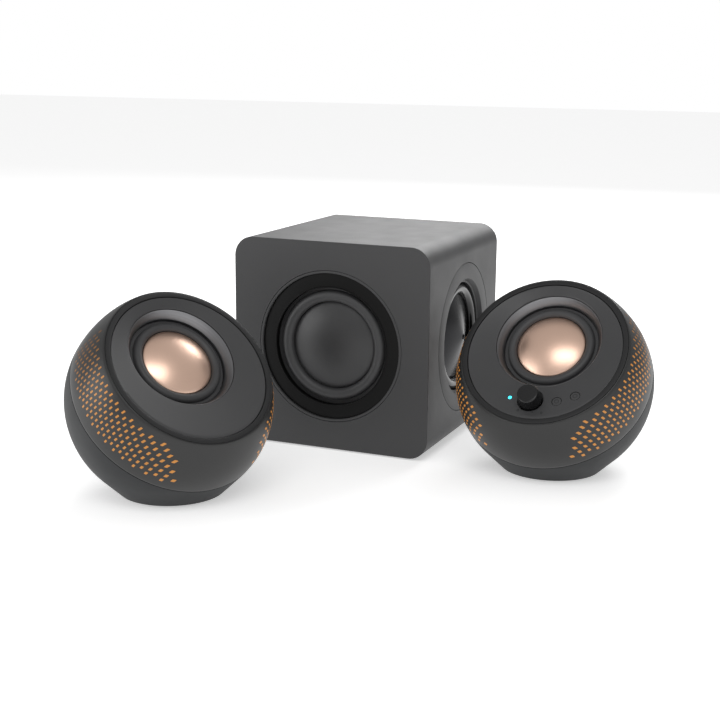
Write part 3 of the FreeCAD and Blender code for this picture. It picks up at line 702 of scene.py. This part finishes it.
class SPEAKERS_OT_cabinet(bpy.types.Operator):
    """Adds the cube with its rounded long edges and its openings"""
    bl_idname = "speakers.cabinet"
    bl_label = "Cabinet"

    def execute(self, context):
        corner = context.scene.speakers_sizes.cabinet_corner
        half = cube_half()
        clear()
        bpy.ops.mesh.primitive_cube_add(size=2 * half, location=(0, 0, 0))
        cube = context.object
        bpy.ops.object.mode_set(mode="EDIT")
        pick(cube, lambda middle, way: abs(way.y) > half)
        bpy.ops.mesh.bevel(offset=corner, segments=20, affect="EDGES")
        pick(cube, lambda middle, way: abs(way.y) < 1e-6 and abs(abs(middle.y) - half) < 1e-6)
        bpy.ops.mesh.bevel(offset=mm(CUBE_EDGE), segments=3, affect="EDGES")
        bpy.ops.object.mode_set(mode="OBJECT")
        half_mm = half * 1000
        inside = half_mm - SIDE_WALL
        cut(cube, brick(2 * inside, 2 * inside - FRONT_WALL + SIDE_WALL, -inside, inside,
                        0, (FRONT_WALL - SIDE_WALL) / 2))
        front = Matrix.Translation((0, -half, 0)) @ Matrix.Rotation(math.pi / 2, 4, "X")
        back = Matrix.Translation((0, half, 0)) @ Matrix.Rotation(-math.pi / 2, 4, "X")
        reach = PANEL - 2 * PANEL_LEDGE
        tools = [(peg(TRIM_R + GAP, -TRIM_DEPTH, 1, sides=192), front),
                 (peg(BASS_HOLE_R, -FRONT_WALL - 1, 1, sides=192), front),
                 (brick(PANEL + 2 * GAP, PANEL + 2 * GAP, -PANEL_WALL, 1), back),
                 (brick(reach, reach, -SIDE_WALL - 1, 1), back)]
        for side in (-1, 1):
            flank = Matrix.Translation((side * half, 0, 0)) @ Matrix.Rotation(side * math.pi / 2, 4, "Y")
            tools.append((peg(SIDE_RING_R + GAP, -4.0, 1, sides=192), flank))
            tools.append((peg(SIDE_HOLE_R, -SIDE_WALL - 1, 1, sides=192), flank))
        for tool, matrix in tools:
            tool.matrix_world = matrix
            settle(tool)
            cut(cube, tool)
        shade(cube, 25)
        modify(cube, "WEIGHTED_NORMAL", keep_sharp=True, weight=60)
        fit(cube, "cabinet", Matrix.Translation(bass_centre()), "bass_unit", "cabinet_grey", "bass_cabinet")
        return {"FINISHED"}


class SPEAKERS_OT_bass_driver(bpy.types.Operator):
    """Adds the black trim ring, the rubber roll and the cone of the bass driver"""
    bl_idname = "speakers.bass_driver"
    bl_label = "Bass driver"

    def execute(self, context):
        steps = context.scene.speakers_sizes.steps
        front = front_of_cube()
        lip = spun("bass_lip", softened([
            (TRIM_R, 0, 0.35), (TRIM_LIP_R, 0, 0.3), (TRIM_LIP_R, -TRIM_DEPTH, 0), (TRIM_R, -TRIM_DEPTH, 0),
        ]), steps)
        fit(lip, "bass_lip", front, "bass_unit", "trim_black", "bass_trim_ring", finish="cabinet_grey")
        # A hairline between the painted lip and the black ring inside it.
        inner_lip = TRIM_LIP_R - 0.15
        ring = spun("bass_ring", softened([
            (inner_lip, TRIM_FACE, 0.25),
            (TRIM_BEAD_R, TRIM_FACE - 0.3, 0.15), (TRIM_BEAD_R - 0.1, TRIM_FACE + 0.35, 0.3),
            (TRIM_HOLE_R, TRIM_FACE + 0.2, 0.3), (TRIM_HOLE_R, -TRIM_DEPTH + 0.8, 0),
            (BASS_HOLE_R - 0.4, -TRIM_DEPTH, 0), (inner_lip, -TRIM_DEPTH, 0),
        ]), steps)
        fit(ring, "bass_ring", front, "bass_unit", "trim_black", "bass_trim_ring")
        inner = BASS_CONE_R + GAP
        roll = spun("bass_roll", roll_outline(inner, BASS_ROLL_OUT, BASS_HOLE_R - GAP, BASS_SEAT,
                                              BASS_ROLL_RISE, BASS_ROLL_WALL), steps)
        flex(roll, "bass_roll", front, "bass_surround", inner, BASS_ROLL_OUT)
        cone = spun("bass_dish", dome_outline(BASS_CONE_R, BASS_CONE_Z, BASS_CONE_RISE, BASS_CONE_WALL), steps)
        fit(cone, "bass_dish", front, "bass_driver", "cone_grey", "bass_cone")
        return {"FINISHED"}


class SPEAKERS_OT_side_radiators(bpy.types.Operator):
    """Adds the two flush rings, their glossy rolls and their spun dishes"""
    bl_idname = "speakers.side_radiators"
    bl_label = "Side radiators"

    def execute(self, context):
        steps = context.scene.speakers_sizes.steps
        grip = SIDE_HOLE_R - GAP
        ring = spun("ring", softened([
            (SIDE_RING_R, 0, 0.35), (SIDE_MOUTH_R, 0, 0.7), (SIDE_STEP_R, -3.4, 0.3),
            (SIDE_BARREL_R, -3.6, 0.3), (SIDE_BARREL_R, -7.4, 0), (grip, -7.4, 0),
            (grip, -3.9, 0), (SIDE_RING_R, -3.9, 0),
        ]), steps)
        inner = DISH_R + GAP
        roll = spun("roll", roll_outline(inner, SIDE_ROLL_OUT, SIDE_HOLE_R - 2 * GAP, SIDE_SEAT,
                                         SIDE_ROLL_RISE, ROLL_WALL), steps)
        tip = DISH_Z + DISH_RISE
        under = DISH_Z + DISH_RISE * (1 - WEIGHT_R / DISH_R) - DISH_WALL
        dish = spun("dish", softened([
            (0, tip - DIMPLE, 0), (1.3, tip - DIMPLE, 0.5), (DIMPLE_R, tip, 0.25), (DISH_R, DISH_Z, 0.3),
            (DISH_R, DISH_Z - DISH_WALL, 0), (WEIGHT_R, under, 0), (WEIGHT_R, DISH_Z - WEIGHT, 0.4),
            (0, DISH_Z - WEIGHT, 0),
        ]), steps)
        for name, side in (("left", -1), ("right", 1)):
            place = side_of_cube(side)
            bodies = ("bass_unit", name + "_radiator")
            fit(handed(ring), "side_trim_" + name, place, bodies[0], "cabinet_grey", "side_ring_" + name)
            flex(handed(roll), "side_roll_" + name, place, "side_surround_" + name, inner,
                 SIDE_ROLL_OUT, "gloss_rubber")
            fit(handed(dish), "side_plate_" + name, place, bodies[1], "dish_metal", "side_dish_" + name)
        drop(ring, roll, dish)
        return {"FINISHED"}


# ---------------------------------------------------------------- satellites

def shell_ring(n, inset=0.0):
    """(radius, up, height) of the front shell, which drifts from the ball to the raised rim."""
    share = ((n - SEAM_N) / (RIM_N - SEAM_N)) ** 2
    up = RIM_U * share
    return (math.sqrt(BALL_R ** 2 - n ** 2) - up + SHELL_FLARE * share - inset, up, n)


def front_shell(sides):
    edge = 0.25
    rings = [shell_ring(SHELL_LOW, edge), shell_ring(SHELL_LOW + 0.07, 0.07), shell_ring(SHELL_LOW + edge)]
    levels = 26
    low = SHELL_LOW + edge
    high = SHELL_TOP - edge
    rings += [shell_ring(low + (high - low) * i / levels) for i in range(1, levels + 1)]
    radius, up, _ = shell_ring(SHELL_TOP)
    pocket = RIM_R + 0.1
    rings += [(radius - 0.08, up, SHELL_TOP - 0.07), (radius - edge, up, SHELL_TOP),
              (pocket + 0.15, RIM_U, SHELL_TOP), (pocket, RIM_U, SHELL_TOP - 0.15),
              (pocket, RIM_U, RIM_SEAT), (RIM_BARREL_R + 0.2, RIM_U, RIM_SEAT)]
    rings += [shell_ring(n, SHELL_WALL) for n in (26.0, 21.0, 16.0, 11.0, 6.0, SHELL_LOW)]
    return stacked("front_shell", rings, sides)


def rear_shell(side, controls):
    """The dark back: a turned ball on a flat foot, cut at the seam, given a wall and sunk ports."""
    steps = 60
    top_r = math.sqrt(BALL_R ** 2 - SKIRT_TOP ** 2)
    low_angle = -math.asin(SKIRT_TOP / BALL_R)
    outline = []
    for i in range(steps + 1):
        angle = math.pi / 2 + (low_angle - math.pi / 2) * i / steps
        outline.append((BALL_R * math.cos(angle), BALL_R * math.sin(angle)))
    outline[0] = (0, BALL_R)
    drop = BALL_FLAT - SKIRT_TOP
    foot = top_r - drop * SKIRT_TOP / top_r
    outline += softened([(top_r, -SKIRT_TOP, 0), (foot, -BALL_FLAT, 1.2), (FOOT_R + GAP, -BALL_FLAT, 0.2),
                         (FOOT_R + GAP, -BALL_FLAT + 1.0, 0), (0, -BALL_FLAT + 1.0, 0)])[1:]
    shell = spun("rear_shell", outline, 160)
    out = (upright(side).inverted().to_3x3() @ plate_normal(side)).normalized()
    only(shell)
    bpy.ops.object.mode_set(mode="EDIT")
    bpy.ops.mesh.select_all(action="SELECT")
    bpy.ops.mesh.bisect(plane_co=out * mm(SEAM_N - SEAM_GAP / 2), plane_no=out, clear_outer=True)
    bpy.ops.object.mode_set(mode="OBJECT")
    modify(shell, "SOLIDIFY", thickness=mm(SHELL_WALL), offset=-1)
    swings = (0.0, JACK_SWING) if controls else (0.0,)
    for swing in swings:
        for radius, start in ((INLET_R, INLET_FACE), (PORT_BODY_R + 0.05, 40.0)):
            tool = peg(radius, start, 90)
            tool.matrix_world = port_place(swing)
            settle(tool)
            cut(shell, tool)
        boss = spun("boss", softened([(INLET_R + 0.02, INLET_FACE - 2, 0), (INLET_R + 0.02, INLET_FACE, 0),
                                      (PORT_BEAD_R + 0.2, INLET_FACE, 0), (PORT_BODY_R + 0.05, INLET_FACE, 0),
                                      (PORT_BODY_R + 0.05, INLET_FACE - 2, 0)]), 96)
        boss.matrix_world = port_place(swing)
        settle(boss)
        join(shell, boss)
    lip_in = BALL_R - SHELL_WALL - 1.5
    lip_out = BALL_R - SHELL_WALL - 0.4
    lip = spun("lip", [(lip_in, SEAM_N - 5), (lip_out + 0.7, SEAM_N - 5), (lip_out + 0.7, SEAM_N - SEAM_GAP),
                       (lip_out, SEAM_N - SEAM_GAP), (lip_out, SEAM_N + 3.6), (lip_in, SEAM_N + 3.6)], 160)
    lip.matrix_world = upright(side).inverted() @ tilted(side)
    settle(lip)
    join(shell, lip)
    shade(shell, 30)
    return shell


def port_place(swing):
    """Local Z straight back at the height of the sockets, swung round the upright axis."""
    turn = Matrix.Rotation(math.radians(swing), 4, "Z")
    return turn @ Matrix.Translation((0, 0, mm(INLET_Z))) @ Matrix.Rotation(-math.pi / 2, 4, "X")


class SPEAKERS_OT_shells(bpy.types.Operator):
    """Adds the front and rear shells and the dark rims of both satellites"""
    bl_idname = "speakers.shells"
    bl_label = "Satellite shells"

    def execute(self, context):
        steps = context.scene.speakers_sizes.steps
        front = front_shell(steps)
        ledge = 50.0
        rim = spun("rim", softened([
            (RIM_HOLE_R, RIM_N, 0.3), (RIM_R, RIM_N, 0.3), (RIM_R, RIM_SEAT, 0),
            (RIM_BARREL_R, RIM_SEAT, 0), (RIM_BARREL_R, PLATE_BACK_N - 1.6, 0),
            (ledge, PLATE_BACK_N - 1.6, 0), (ledge, PLATE_BACK_N, 0), (RIM_HOLE_R, PLATE_BACK_N, 0),
        ]), steps)
        for side in ("left", "right"):
            place = tilted(side)
            body = side + "_satellite"
            fit(handed(front), "front_cover_" + side, place, body, "shell_grey", "front_shell_" + side)
            fit(handed(rim), "rim_" + side, place @ slid(0, RIM_U), body, "rim_dark", "rim_ring_" + side)
            back = rear_shell(side, side == "right")
            fit(back, "rear_cover_" + side, upright(side), body, "shell_dark", "rear_shell_" + side)
        drop(front, rim)
        return {"FINISHED"}


def plate_point(t):
    """(radius, up, height) of the dished plate from the driver's edge, at 0, to the rim, at 1."""
    edge_r = RIM_HOLE_R - GAP
    return (BEVEL_R + t * (edge_r - BEVEL_R), DRIVER_U + t * (RIM_U - DRIVER_U),
            BEVEL_N + t * (PLATE_EDGE_N - BEVEL_N))


def plate_height(x, y):
    """How high the dished plate lies at a place on it, found by halving."""
    low, high = 0.0, 1.0
    for _ in range(40):
        t = (low + high) / 2
        radius, up, _ = plate_point(t)
        if math.hypot(x, y - up) > radius:
            low = t
        else:
            high = t
    return plate_point(low)[2]


def on_plate(x, y):
    """A local frame on the plate's surface, Z along its own slope."""
    reach = 1.0
    rise_x = (plate_height(x + reach, y) - plate_height(x - reach, y)) / (2 * reach)
    rise_y = (plate_height(x, y + reach) - plate_height(x, y - reach)) / (2 * reach)
    out = Vector((-rise_x, -rise_y, 1)).normalized()
    across = Vector((0, 1, 0)).cross(out).normalized()
    return columns(across, out.cross(across), out, Vector((mm(x), mm(y), mm(plate_height(x, y)))))


def front_plate(sides, controls):
    soft = 0.35
    rings = []
    count = 10
    inner_r, inner_up, inner_n = plate_point(0)
    outer_r, outer_up, outer_n = plate_point(1)
    rings.append((inner_r + 0.05, inner_up, inner_n - 0.2))
    rings.append((inner_r + 0.2, inner_up, inner_n))
    rings += [plate_point(i / count) for i in range(1, count)]
    rings += [(outer_r - soft, outer_up, outer_n - 0.03), (outer_r - 0.1, outer_up, outer_n - 0.13),
              (outer_r, outer_up, outer_n - soft), (outer_r, outer_up, PLATE_BACK_N),
              (inner_r + 0.05, inner_up, PLATE_BACK_N)]
    plate = stacked("plate", rings, sides)
    if controls:
        cut(plate, peg(KNOB_WELL_R, KNOB_WELL_N, 60, *KNOB_AT), peg(SHAFT_R + GAP, 0, 60, *KNOB_AT),
            peg(LIGHT_R + 0.05, 0, 60, *LIGHT_AT, sides=48))
        for place in BUTTONS.values():
            cut(plate, peg(BUTTON_R + GAP, 0, 60, *place))
        shade(plate, 30)
    return plate


class SPEAKERS_OT_fronts(bpy.types.Operator):
    """Adds the dished plates and the bevelled funnels of both satellites"""
    bl_idname = "speakers.fronts"
    bl_label = "Satellite plates"

    def execute(self, context):
        steps = context.scene.speakers_sizes.steps
        edge = BEVEL_R - 0.1
        behind = PLATE_BACK_N - 0.2
        funnel = spun("funnel", softened([
            (edge, BEVEL_N, 0.25), (BEVEL_HOLE_R, BEVEL_HOLE_N, 0.3), (BEVEL_HOLE_R, BEVEL_BACK_N, 0),
            (BEVEL_FLANGE_R, BEVEL_BACK_N, 0), (BEVEL_FLANGE_R, behind, 0), (edge, behind, 0),
        ]), steps)
        for side in ("left", "right"):
            body = side + "_satellite"
            fit(front_plate(steps, side == "right"), "plate_" + side, tilted(side), body, "plate_grey",
                "front_plate_" + side)
            fit(handed(funnel), "funnel_" + side, tilted(side) @ slid(0, DRIVER_U), body, "bevel_grey",
                "bevel_ring_" + side)
        drop(funnel)
        return {"FINISHED"}


class SPEAKERS_OT_satellite_drivers(bpy.types.Operator):
    """Adds the rubber rolls and the copper cones of both satellites"""
    bl_idname = "speakers.satellite_drivers"
    bl_label = "Satellite drivers"

    def execute(self, context):
        steps = context.scene.speakers_sizes.steps
        inner = CONE_R + GAP
        roll = spun("roll", roll_outline(inner, ROLL_OUT, BEVEL_HOLE_R - GAP, SEAT_N,
                                         ROLL_RISE, ROLL_WALL), steps)
        cone = spun("cone", dome_outline(CONE_R, CONE_N, CONE_RISE, CONE_WALL), steps)
        for side in ("left", "right"):
            place = tilted(side) @ slid(0, DRIVER_U)
            bodies = (side + "_satellite", side + "_driver")
            flex(handed(roll), "roll_" + side, place, "surround_" + side, inner, ROLL_OUT)
            fit(handed(cone), "copper_dish_" + side, place, bodies[1], "copper_cone", "cone_" + side)
        drop(roll, cone)
        return {"FINISHED"}


# How far towards the front the columns of light openings reach, as (up the plate, height of the end).
COLUMN_ENDS = [(-59.0, 10.6), (-55.6, 17.6), (-52.0, 23.6), (-48.8, 25.6), (-45.5, 27.4), (-42.3, 29.6),
               (-39.0, 31.0)]
COLUMN_COUNT = 32
ROW_PITCH = 4.3
COLUMN_START = 9.5          # height of the first row at the middle of the plate
COLUMN_BOW = 0.0007          # the first row bows back above and below it
STAGGER = 0.55               # shift between neighbouring columns, in rows
END_ROOM = 0.8


def opening_places(pitch):
    """(up, height) of every light opening, column by column, every other one about half a row higher."""
    places = []
    for i in range(COLUMN_COUNT):
        up = COLUMN_ENDS[0][0] + i * pitch
        nearest = min(COLUMN_ENDS, key=lambda end: abs(end[0] - up))
        end = (nearest if up < COLUMN_ENDS[-1][0] else COLUMN_ENDS[-1])[1] + END_ROOM
        start = COLUMN_START - COLUMN_BOW * up ** 2
        if i % 2 == 0:
            start += STAGGER * ROW_PITCH
        row = 0
        while start + row * ROW_PITCH <= end:
            places.append((up, start + row * ROW_PITCH))
            row += 1
    return places


class SPEAKERS_OT_light_openings(bpy.types.Operator):
    """Adds the staggered amber openings on the flanks of both satellites"""
    bl_idname = "speakers.light_openings"
    bl_label = "Light openings"

    def execute(self, context):
        sizes = context.scene.speakers_sizes
        places = opening_places(sizes.pip_pitch * 1000)
        clear()
        # One opening, drawn beside the ball and facing outwards, with rounded corners.
        beside = 0.08
        bpy.ops.mesh.primitive_plane_add(size=1, location=(beside, mm(places[0][0]), mm(places[0][1])),
                                         rotation=(0, math.pi / 2, 0))
        lights = context.object
        lights.scale = (sizes.pip_length, sizes.pip_width, 1)
        settle(lights)
        bpy.ops.object.mode_set(mode="EDIT")
        bpy.ops.mesh.select_all(action="SELECT")
        bpy.ops.mesh.bevel(offset=sizes.pip_width * 0.22, segments=3, affect="VERTICES")
        bpy.ops.mesh.select_all(action="SELECT")
        last = places[0]
        for place in places[1:]:
            step = (0, mm(place[0] - last[0]), mm(place[1] - last[1]))
            bpy.ops.mesh.duplicate_move(TRANSFORM_OT_translate={"value": step})
            last = place
        bpy.ops.object.mode_set(mode="OBJECT")
        # Painted fall-off: the lamp light of the openings is dimmed towards the top of the plate, standing in
        # for the dimmer look of light that leaves them at a slant.
        glow = lights.data.attributes.new("glow", "FLOAT", "POINT")
        for vertex, value in zip(lights.data.vertices, glow.data):
            up = vertex.co.y * 1000
            value.value = 1.0 - 0.6 * min(1.0, max(0.0, (up - 5) / 35))
        shell = front_shell(sizes.steps)
        modify(lights, "SHRINKWRAP", target=shell, wrap_method="PROJECT", wrap_mode="ABOVE_SURFACE",
               use_project_x=True, use_positive_direction=False, use_negative_direction=True,
               offset=mm(0.06))
        bpy.data.objects.remove(shell)
        modify(lights, "SOLIDIFY", thickness=mm(0.4), offset=-1)
        modify(lights, "MIRROR")
        shade(lights, 40)
        for side in ("left", "right"):
            fit(handed(lights), "light_openings_" + side, tilted(side), side + "_satellite", "light_amber")
        drop(lights)
        return {"FINISHED"}


class SPEAKERS_OT_controls(bpy.types.Operator):
    """Adds the knob, the two flush buttons, the lamp and the small printed marks"""
    bl_idname = "speakers.controls"
    bl_label = "Controls"

    def execute(self, context):
        place = tilted("right")
        low = KNOB_WELL_N + 0.5
        high = plate_height(*KNOB_AT) + KNOB_RISE
        shaft_end = BOARD_TOP + 0.8
        knob = spun("knob", softened([
            (0, high, 0), (KNOB_TOP_R, high, 0.9), (KNOB_R, low + 2.4, 0.6), (KNOB_R, low, 0.3),
            (SHAFT_R, low, 0), (SHAFT_R, shaft_end, 0), (0, shaft_end, 0),
        ], 6), 128)
        fit(knob, "knob_cap", place @ slid(*KNOB_AT), "knob", "knob_black", "volume_knob")
        collar = 1.1
        for name, at in BUTTONS.items():
            seat = place @ on_plate(*at)
            low = BUTTON_FOOT_N + PRESS_ROOM - plate_height(*at)
            cap = spun(name, softened([
                (0, 0, 0), (BUTTON_R, 0, 0.35), (BUTTON_R, low + 1.0, 0), (BUTTON_R + collar, low + 1.0, 0),
                (BUTTON_R + collar, low, 0), (0, low, 0)]), 64)
            body = name.replace("_button", "_press")
            fit(cap, name.replace("button", "cap"), seat, body, "plate_grey", name)
            sign = spun(name, [(1.55, 0.02), (1.55, 0.07), (1.2, 0.07), (1.2, 0.02)], 48)
            fit(sign, name.replace("button", "sign"), seat, body, "knob_black", finish="mark_dark")
        top = plate_height(*LIGHT_AT) + 0.1
        lamp_end = BOARD_TOP + 1.6
        lamp = spun("lamp", softened([
            (0, top, 0), (LIGHT_R, top - 0.2, 0.3), (LIGHT_R, lamp_end, 0), (0, lamp_end, 0)]), 48)
        glow = lamp.data.attributes.new("glow", "FLOAT", "POINT")
        glow.data.foreach_set("value", [1.0] * len(lamp.data.vertices))
        fit(lamp, "status_lamp", place @ slid(*LIGHT_AT), "right_satellite", "status_cyan", "status_light")
        ring = [(0.85, 0.0), (0.85, 0.05), (0.45, 0.05), (0.45, 0.0)]
        dot = [(0, 0.05), (0.5, 0.05), (0.5, 0.0), (0, 0.0)]
        for i, (outline, x, y) in enumerate([(ring, -5.5, -43.5), (dot, 4.3, -43.3), (ring, 10.4, -43.2)]):
            fit(spun("mark", outline, 32), "mark_%d" % i, place @ on_plate(x, y), "right_satellite",
                "plate_grey", finish="mark_dark")
        return {"FINISHED"}


# ---------------------------------------------------------------- what keeps its CAD shape

KEPT = {
    "bass_feet": "pad_rubber", "bass_frame": "frame_metal", "bass_magnet": "magnet_steel",
    "bass_spider": "spider_cloth", "bass_coil": "coil_former", "rear_panel": "panel_metal",
    "panel_screws": "screw_black", "power_inlet": "socket_black", "satellite_sockets": "socket_black",
    "amplifier_board": "board_green", "line_jack": "socket_black", "knob_encoder": "frame_metal",
    "control_board": "board_green",
}
KEPT_PAIRS = {
    "side_frame": "trim_black", "frame": "frame_metal", "magnet": "magnet_steel", "coil": "coil_former",
    "light_guide": "light_amber", "cable_inlet": "socket_black", "foot_pad": "pad_rubber",
    "foot_weight": "weight_steel",
}
for part, part_slot in KEPT_PAIRS.items():
    for hand in ("_left", "_right"):
        KEPT[part + hand] = part_slot


class SPEAKERS_OT_kept(bpy.types.Operator):
    """Gives every CAD node that keeps its shape its finish"""
    bl_idname = "speakers.kept"
    bl_label = "Inner parts"

    def execute(self, context):
        for node, slot in KEPT.items():
            mesh = NODES[node].data
            mesh.materials.clear()
            mesh.materials.append(FINISH[slot])
        return {"FINISHED"}


# ---------------------------------------------------------------- stage

# The camera, counted in heights of the cube from the middle of its underside.
CAMERA_AT = Vector((2.57574, -6.17078, 1.87002))
CAMERA_AZIMUTH = 23.090
CAMERA_ELEVATION = 12.950
CAMERA_ROLL = 0.493
CAMERA_LENS = 67.387
ROOM = 0.5
FLOOR_GLOW = 0.45
# Soft boxes: name, place, width and height in metres, and power in watts.
LAMPS = (
    ("back_panel", (-0.12, 1.4, 1.0), 1.3, 0.8, 16.0),
    ("front_top", (0.4, -0.95, 1.25), 1.1, 0.6, 6.0),
    ("left_front", (-1.5, -1.2, 0.4), 1.2, 0.8, 8.0),
)


class SPEAKERS_OT_stage(bpy.types.Operator):
    """Adds the pale floor, the soft lights and the camera"""
    bl_idname = "speakers.stage"
    bl_label = "Stage"

    def execute(self, context):
        scene = context.scene
        clear()
        bpy.ops.mesh.primitive_plane_add(size=12, location=(0, 0, -0.0002))
        floor = context.object
        floor.name = "floor"
        settle(floor)
        # A backlit sheet: its own light keeps the far floor as pale as the near floor.
        material, tree = new_material("Acrylic opal backlit")
        place = millimetres(tree).outputs["Vector"]
        fibre = add(tree, "ShaderNodeTexNoise", {"Vector": place, "Scale": 1 / 60, "Detail": 2.0})
        shift = add(tree, "ShaderNodeMapRange", {"Value": fibre.outputs["Fac"], "To Min": 0.93, "To Max": 0.95})
        tint = add(tree, "ShaderNodeCombineColor", {"Red": shift.outputs["Result"],
                                                    "Green": shift.outputs["Result"],
                                                    "Blue": shift.outputs["Result"]})
        surface(tree, {"Base Color": tint.outputs["Color"], "Roughness": 0.9, "Specular IOR Level": 0.1,
                       "Emission Color": (1, 1, 1, 1), "Emission Strength": FLOOR_GLOW})
        floor.data.materials.append(material)
        world = bpy.data.worlds.new("Studio")
        world.use_nodes = True
        scene.world = world
        tree = world.node_tree
        tree.nodes.clear()
        # The camera looks past the floor at plain white; the room itself is dimmer.
        path = add(tree, "ShaderNodeLightPath", {})
        level = add(tree, "ShaderNodeMapRange", {"Value": path.outputs["Is Camera Ray"], "To Min": ROOM,
                                                 "To Max": 1.0})
        sky = add(tree, "ShaderNodeBackground", {"Color": (1, 1, 1, 1), "Strength": level.outputs["Result"]})
        add(tree, "ShaderNodeOutputWorld", {"Surface": sky.outputs["Background"]})
        middle = Vector((0, 0, 0.07))
        for name, at, width, height, power in LAMPS:
            clear()
            bpy.ops.object.light_add(type="AREA", location=at)
            lamp = context.object
            lamp.name = name
            lamp.data.shape = "RECTANGLE"
            lamp.data.size = width
            lamp.data.size_y = height
            lamp.data.energy = power
            lamp.rotation_euler = (middle - Vector(at)).to_track_quat("-Z", "Y").to_euler()
        low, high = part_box("bass_cabinet")
        height = high.z - low.z
        base = Vector(((low.x + high.x) / 2, (low.y + high.y) / 2, low.z))
        a, e, r = (math.radians(v) for v in (CAMERA_AZIMUTH, CAMERA_ELEVATION, CAMERA_ROLL))
        back = Vector((math.sin(a) * math.cos(e), -math.cos(a) * math.cos(e), math.sin(e)))
        right = (-back).cross(AXIS_Z).normalized()
        up = right.cross(-back)
        across = right * math.cos(r) + up * math.sin(r)
        clear()
        bpy.ops.object.camera_add()
        camera = context.object
        camera.matrix_world = columns(across, back.cross(across), back, base + CAMERA_AT * height)
        camera.data.lens = CAMERA_LENS
        camera.data.sensor_width = 36
        camera.data.clip_start = 0.01
        scene.camera = camera
        scene.view_settings.view_transform = "Standard"
        return {"FINISHED"}


# ---------------------------------------------------------------- add-on

STEPS = (
    SPEAKERS_OT_cabinet, SPEAKERS_OT_bass_driver, SPEAKERS_OT_side_radiators, SPEAKERS_OT_shells,
    SPEAKERS_OT_fronts, SPEAKERS_OT_satellite_drivers, SPEAKERS_OT_light_openings, SPEAKERS_OT_controls,
    SPEAKERS_OT_kept, SPEAKERS_OT_stage,
)


class SPEAKERS_PT_panel(bpy.types.Panel):
    """Lists the sizes, the colours and every step of the set"""
    bl_idname = "SPEAKERS_PT_panel"
    bl_label = "Desktop speakers"
    bl_space_type = "VIEW_3D"
    bl_region_type = "UI"
    bl_category = "Speakers"

    def draw(self, context):
        for group in (context.scene.speakers_sizes, context.scene.speakers_finish):
            for name in group.bl_rna.properties.keys():
                if name not in ("rna_type", "name"):
                    self.layout.prop(group, name)
        for step in STEPS:
            self.layout.operator(step.bl_idname)


CLASSES = (SPEAKERS_PG_finish, SPEAKERS_PG_sizes) + STEPS + (SPEAKERS_PT_panel,)


def register():
    for cls in CLASSES:
        bpy.utils.register_class(cls)
    bpy.types.Scene.speakers_finish = PointerProperty(type=SPEAKERS_PG_finish)
    bpy.types.Scene.speakers_sizes = PointerProperty(type=SPEAKERS_PG_sizes)


def unregister():
    del bpy.types.Scene.speakers_sizes
    del bpy.types.Scene.speakers_finish
    for cls in reversed(CLASSES):
        bpy.utils.unregister_class(cls)


def main():
    register()
    FINISH.update(make_finishes())
    for step in STEPS:
        area, name = step.bl_idname.split(".")
        getattr(getattr(bpy.ops, area), name)()


if __name__ == "__main__":
    main()
